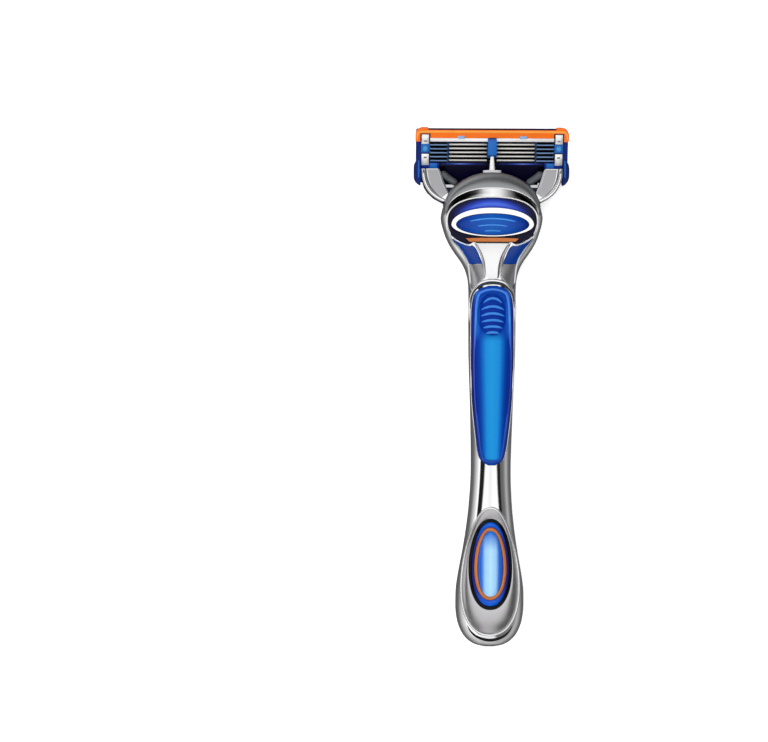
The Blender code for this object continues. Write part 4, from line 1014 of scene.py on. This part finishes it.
def block(name, xs, us, ws, look, edge, sign=1.0, slot="navy_plastic", body="cartridge"):
    """Rounded block over ranges of x, u and w; sign -1 mirrors it to the left."""
    low, high = sorted(sign * x for x in xs)
    fit(box(name, (low, us[0], ws[0]), (high, us[1], ws[1])), look, slot, edge=edge, body=body)


def arc(centre, radius, start, end, count):
    return [(centre[0] + radius * math.cos(math.radians(a)),
             centre[1] + radius * math.sin(math.radians(a))) for a in spread(start, end, count)]


def make_housing():
    side = [(-3.5, -4.1), (-3.5, 0.3), (-3.3, 0.9), (-2.9, 1.3), (-2.3, BACK_W), (11.6, BACK_W),
            (12.0, 1.4), (12.25, 1.1), (12.3, 0.6), (12.2, 0.0), (11.6, -2.4), (11.3, -3.9),
            (11.15, -4.4), (10.8, -4.75), (10.4, FACE_W), (-2.7, FACE_W), (-3.2, -4.7)]
    body = side_slab("housing_skin", side, -HOUSING_HALF_X, HOUSING_HALF_X)
    corner_x = HOUSING_HALF_X - HOUSING_CORNER_R
    right = arc((corner_x, HOUSING_CORNER_R - 3.5), HOUSING_CORNER_R, -90.0, 0.0, 9)
    right += arc((corner_x, 12.3 - HOUSING_CORNER_R), HOUSING_CORNER_R, 0.0, 90.0, 9)
    carve(body, slab("keep", both_sides(right, 0), -20.0, 20.0), 'INTERSECT')
    cuts = [((-16.95, 2.15, -8.0), (16.95, 8.2, -2.4)), ((-16.95, 2.95, -3.0), (16.95, 8.6, 4.0)),
            ((-18.1, 2.15, -8.0), (18.1, 8.2, -3.2)), ((-16.35, 8.45, -8.0), (16.35, 11.05, -4.5)),
            ((-17.15, -8.0, -8.0), (17.15, 2.0, -4.3))]
    cuts = [box("cut", low, high) for low, high in cuts]
    for sign, _ in HANDS:
        rings = [[(sign * x, u, w) for u, w in arc((0.0, 0.0), radius, 0.0, 352.5, 48)]
                 for x, radius in LOBE_PROFILE]
        carve(body, loft("lobe", rings), 'UNION')
        low, high = sorted((sign * 12.7, sign * 19.4))
        cuts.append(box("cut", (low, -5.0, -2.2), (high, 1.9, 5.0)))
        cuts.append(rod("cut", (sign * 18.0, 0, 0), (sign * 21.1, 0, 0), 1.2))
        low, high = sorted((sign * 17.1, sign * 19.35))
        for start, end in ((2.2, 2.65), (10.16, 10.9)):
            cuts.append(box("cut", (low, start, -8.0), (high, end, 4.0)))
    for tool in cuts:
        carve(body, tool)
    bevel(body, 0.14, 2, 40.0)
    fit(body, HOUSING_NAVY, "navy_plastic", "cartridge_housing")


def cam_outline():
    """Centre bar with its cam: an involute, so the plunger moves in proportion to the pivot."""
    points = []
    for swing in spread(-0.03, 0.61, 16):
        tilt = TILT + swing
        reach = 3.9 - 4.5 * swing
        points.append((reach * math.cos(tilt) + 4.5 * math.sin(tilt),
                       4.5 * math.cos(tilt) - reach * math.sin(tilt)))
    return points + [(4.6, 1.15), (8.7, 1.15), (8.72, 1.95), (9.2, 1.95), (9.2, 1.3), (9.8, 1.3),
                     (9.8, 2.5), (9.3, 3.5), (8.6, 3.7), (5.6, 3.7)]


REAR_BLOCKS = (        # name, ranges of x, u and w, look and rounding
    ("rear_rib_", (11.8, 12.2), (2.6, 8.8), (1.1, 1.56), RIB_NAVY, 0.14),
    ("sill_", (14.4, 19.3), (1.3, 2.92), (0.9, 1.80), DEEP_BLUE, 0.25),
    ("sill_step_", (14.9, 17.0), (1.35, 2.9), (1.5, 1.95), BAR_BLUE, 0.2),
    ("tab_bridge_", (17.0, 19.35), (5.7, 8.1), (0.9, 1.80), BAR_BLUE, 0.25))


def make_rear_trim():
    fit(side_slab("centre_bar", cam_outline(), -1.2, 1.2), BAR_BLUE, "navy_plastic", edge=0.16)
    sector = arc((0.0, 0.0), 3.86, -6.0, 100.0, 21) + arc((0.0, 0.0), 3.35, 100.0, -6.0, 21)
    for sign, hand in HANDS:
        for i in range(5):
            u = 3.27 + BLADE_PITCH * i
            block("slat_%s_%d" % (hand, i + 1), (11.9, 16.9), (u, u + 0.34), (0.98, 1.46),
                  SLAT_BLUE, 0.1, sign)
        for name, xs, us, ws, look, edge in REAR_BLOCKS:
            block(name + hand, xs, us, ws, look, edge, sign)
        knob = rod("tab_knob_" + hand, (sign * 18.2, 6.9, 1.55), (sign * 18.2, 6.9, 2.15), 0.72, 24)
        fit(knob, TAB_BLUE, "navy_plastic", edge=0.2)
        band = side_slab("end_band_" + hand, sector, *sorted((sign * 19.75, sign * 20.15)))
        fit(band, BAR_BLUE, "navy_plastic", edge=0.1)
        for i in range(5):
            u = 3.22 + BLADE_PITCH * i
            block("blade_line_%s_%d" % (hand, i + 1), (1.35, 11.7), (u, u + 0.43), (0.4, 0.74),
                  BLADE_LINE, 0.06, sign, "blade_steel", "blade_%d" % (i + 1))
    rail = [(x, 2.62, 1.58) for x in spread(-14.2, 14.2, 40)]
    for sign, hand in HANDS:
        piece = bead("rail_" + hand, [p for p in rail if sign * p[0] > 1.4], 0.22, False, 0.1, 0.7)
        fit(piece, RAIL_BLUE, "navy_plastic")
    for sign, hand in HANDS:
        block("small_tab_" + hand, (7.5, 9.4), (9.75, 10.55), (1.5, 2.5), TAB_PALE, 0.18, sign)
    blade = box("trimmer_skin", (-16.9, 8.85, BACK_W + 0.05), (16.9, 9.8, BACK_W + 0.27))
    fit(blade, BRIGHT_STEEL, "blade_steel", "trimmer_blade", edge=0.05)


def make_trimmer_guard():
    right = [(1.35, 10.0), (1.35, 9.9), (16.8, 9.9), (16.8, 11.15), (19.55, 11.15), (19.55, 8.9),
             (20.6, 8.9), (20.7, 10.4), (20.5, 11.1), (20.0, 11.75), (19.2, 12.05)]
    guard = slab("trimmer_guard_skin", both_sides(right, 0), BACK_W + 0.05, BACK_W + 0.70)
    fit(guard, ORANGE, "orange_plastic", "trimmer_guard", edge=0.16)
    outline = [(20.3, 9.0), (20.9, 9.0)] + arc((18.9, 10.6), 2.0, 0.0, 90.0, 13)
    outline += [(17.4, 12.6), (17.4, 12.0), (18.6, 12.0)] + arc((18.6, 10.3), 1.7, 80.0, 10.0, 9)
    for sign, hand in HANDS:
        cap = slab("guard_corner_" + hand, [(sign * x, y) for x, y in outline], 0.3, BACK_W + 0.62)
        fit(cap, ORANGE, "orange_plastic", edge=0.16)
    # Bead along the guard's top edge, in the lighter orange: painted highlight.
    ends = [(-20.35, 9.3), (-20.4, 10.5), (-20.1, 11.2), (-19.5, 11.55), (-18.6, 11.62)]
    edge = ends + [(x, 11.62) for x in spread(-17.0, 17.0, 20)]
    edge += [(-x, u) for x, u in reversed(ends)]
    path = [(x, u, BACK_W + 0.68) for x, u in flat_curve(edge, 120)]
    fit(bead("trimmer_lip", path, 0.30, False, 0.04, 0.55), GUARD_EDGE_HIGHLIGHT, "orange_plastic")


def make_clips():
    profile = [(2.30, -5.28), (10.50, -5.28), (10.80, 1.90), (8.2, 1.90), (8.2, 1.65),
               (10.54, 1.65), (10.26, -5.03), (2.55, -5.03), (2.55, 1.65), (5.45, 1.65),
               (5.45, 1.90), (2.30, 1.90)]
    for sign, hand in HANDS:
        clip = side_slab("clip_skin_" + hand, profile, *sorted((sign * 17.2, sign * 19.24)))
        fit(clip, TIN, "bent_metal", "clip_" + hand, edge=0.07)
        for k, us in enumerate(((4.25, 4.65), (8.8, 9.15))):
            block("clip_slot_%s_%d" % (hand, k + 1), (17.8, 18.6), us, (1.80, 1.93), DARK_GREY,
                  0.04, sign, "bent_metal")


def make_strip():
    profile = [(8.62, -4.6), (8.62, -5.15), (8.8, -5.32), (9.3, -5.40), (9.8, -5.42), (10.3, -5.38),
               (10.75, -5.25), (10.88, -5.05), (10.88, -4.6)]
    fit(side_slab("strip_skin", profile, -16.2, 16.2), PALE_BLUE, "pale_blue",
        "lubricating_strip", edge=0.1)


make_housing()
make_rear_trim()
make_trimmer_guard()
make_clips()
make_strip()


# ---------------------------------------------------------------- camera, floor and light

VIEW_MIDDLE = Vector((-29.2, 4.4, 0.0)) * MM     # what the camera's middle looks at
VIEW_WIDTH = 209.7 * MM
LENS_LENGTH = 100.0
SENSOR = 36.0
RAZOR_MID_Z = 9.0 * MM
CAMERA_ROLL = 0.25
FLOOR_HALF = 1.5
FLOOR_DROP = 0.0001
FLOOR_GLOW = 0.52
KEY_POWER = 1.6
KEY_SPREAD = math.radians(50.0)


def make_camera():
    data = bpy.data.cameras.new("camera")
    data.lens = LENS_LENGTH
    data.sensor_width = SENSOR
    data.clip_start = 0.01
    camera = bpy.data.objects.new("camera", data)
    bpy.context.scene.collection.objects.link(camera)
    height = VIEW_WIDTH * LENS_LENGTH / SENSOR + RAZOR_MID_Z
    camera.location = (VIEW_MIDDLE.x, VIEW_MIDDLE.y, height)
    camera.rotation_euler.z = math.radians(CAMERA_ROLL)
    bpy.context.scene.camera = camera


def make_floor():
    bm = bmesh.new()
    bmesh.ops.create_grid(bm, x_segments=8, y_segments=8, size=FLOOR_HALF)
    mesh = bpy.data.meshes.new("floor")
    bm.to_mesh(mesh)
    bm.free()
    floor = bpy.data.objects.new("floor", mesh)
    bpy.context.scene.collection.objects.link(floor)
    floor.location.z = -FLOOR_DROP
    look = material("pale_floor", (0.95, 0.95, 0.95), 0.8, bump=0.02, grain=60.0, tint=0.01,
                    specular=0.0)
    feed(look.node_tree, look.node_tree.nodes["Principled BSDF"],
         {"Emission Color": (1, 1, 1, 1), "Emission Strength": FLOOR_GLOW})
    mesh.materials.append(look)
    floor.visible_glossy = False


def make_light():
    """Sky of soft bands: bright to the west, dull to the east, a narrow bright slot to the south."""
    world = bpy.data.worlds.new("studio")
    bpy.context.scene.world = world
    world.use_nodes = True
    tree = world.node_tree
    place = tree.nodes.new("ShaderNodeTexCoord").outputs["Generated"]
    split = add_node(tree, "SeparateXYZ", {"Vector": place})
    x, y, z = (Term(tree, split.outputs[axis]) for axis in "XYZ")
    height = z * 0.5 + 0.5
    bright = height.grey_ramp((0.0, 0.10), (0.30, 0.16), (0.48, 0.45), (0.55, 0.62), (0.66, 0.85),
                              (0.74, 1.25), (0.775, 1.25), (0.80, 0.015), (0.915, 0.015),
                              (0.935, 1.17), (1.0, 1.17))
    dull = height.grey_ramp((0.0, 0.10), (0.30, 0.16), (0.48, 0.40), (0.55, 0.50), (0.66, 0.28),
                            (0.75, 0.17), (0.845, 0.14), (0.865, 0.015), (0.92, 0.02),
                            (0.935, 1.17), (1.0, 1.17))
    slot = height.grey_ramp((0.0, 0.10), (0.30, 0.16), (0.48, 0.35), (0.60, 0.55), (0.75, 1.0),
                            (1.0, 1.05))
    side = (x * 2.2 + 0.5).clamped().blend(bright, dull)
    bearing = y / ((x * x + y * y).node('SQRT') + 0.001)
    sky = (bearing * -50.0 + -48.5).clamped().blend(side, slot)
    feed(tree, tree.nodes["Background"], {"Color": sky, "Strength": 1.0})
    data = bpy.data.lights.new("soft_key", 'SUN')
    data.energy = KEY_POWER
    data.angle = KEY_SPREAD
    key = bpy.data.objects.new("soft_key", data)
    bpy.context.scene.collection.objects.link(key)
    key.location = (-0.1, 0.1, 0.6)
    key.rotation_euler = (math.radians(-6.0), math.radians(-10.0), 0.0)
    key.visible_glossy = False
    bpy.context.scene.view_settings.view_transform = 'Standard'


make_camera()
make_floor()
make_light()
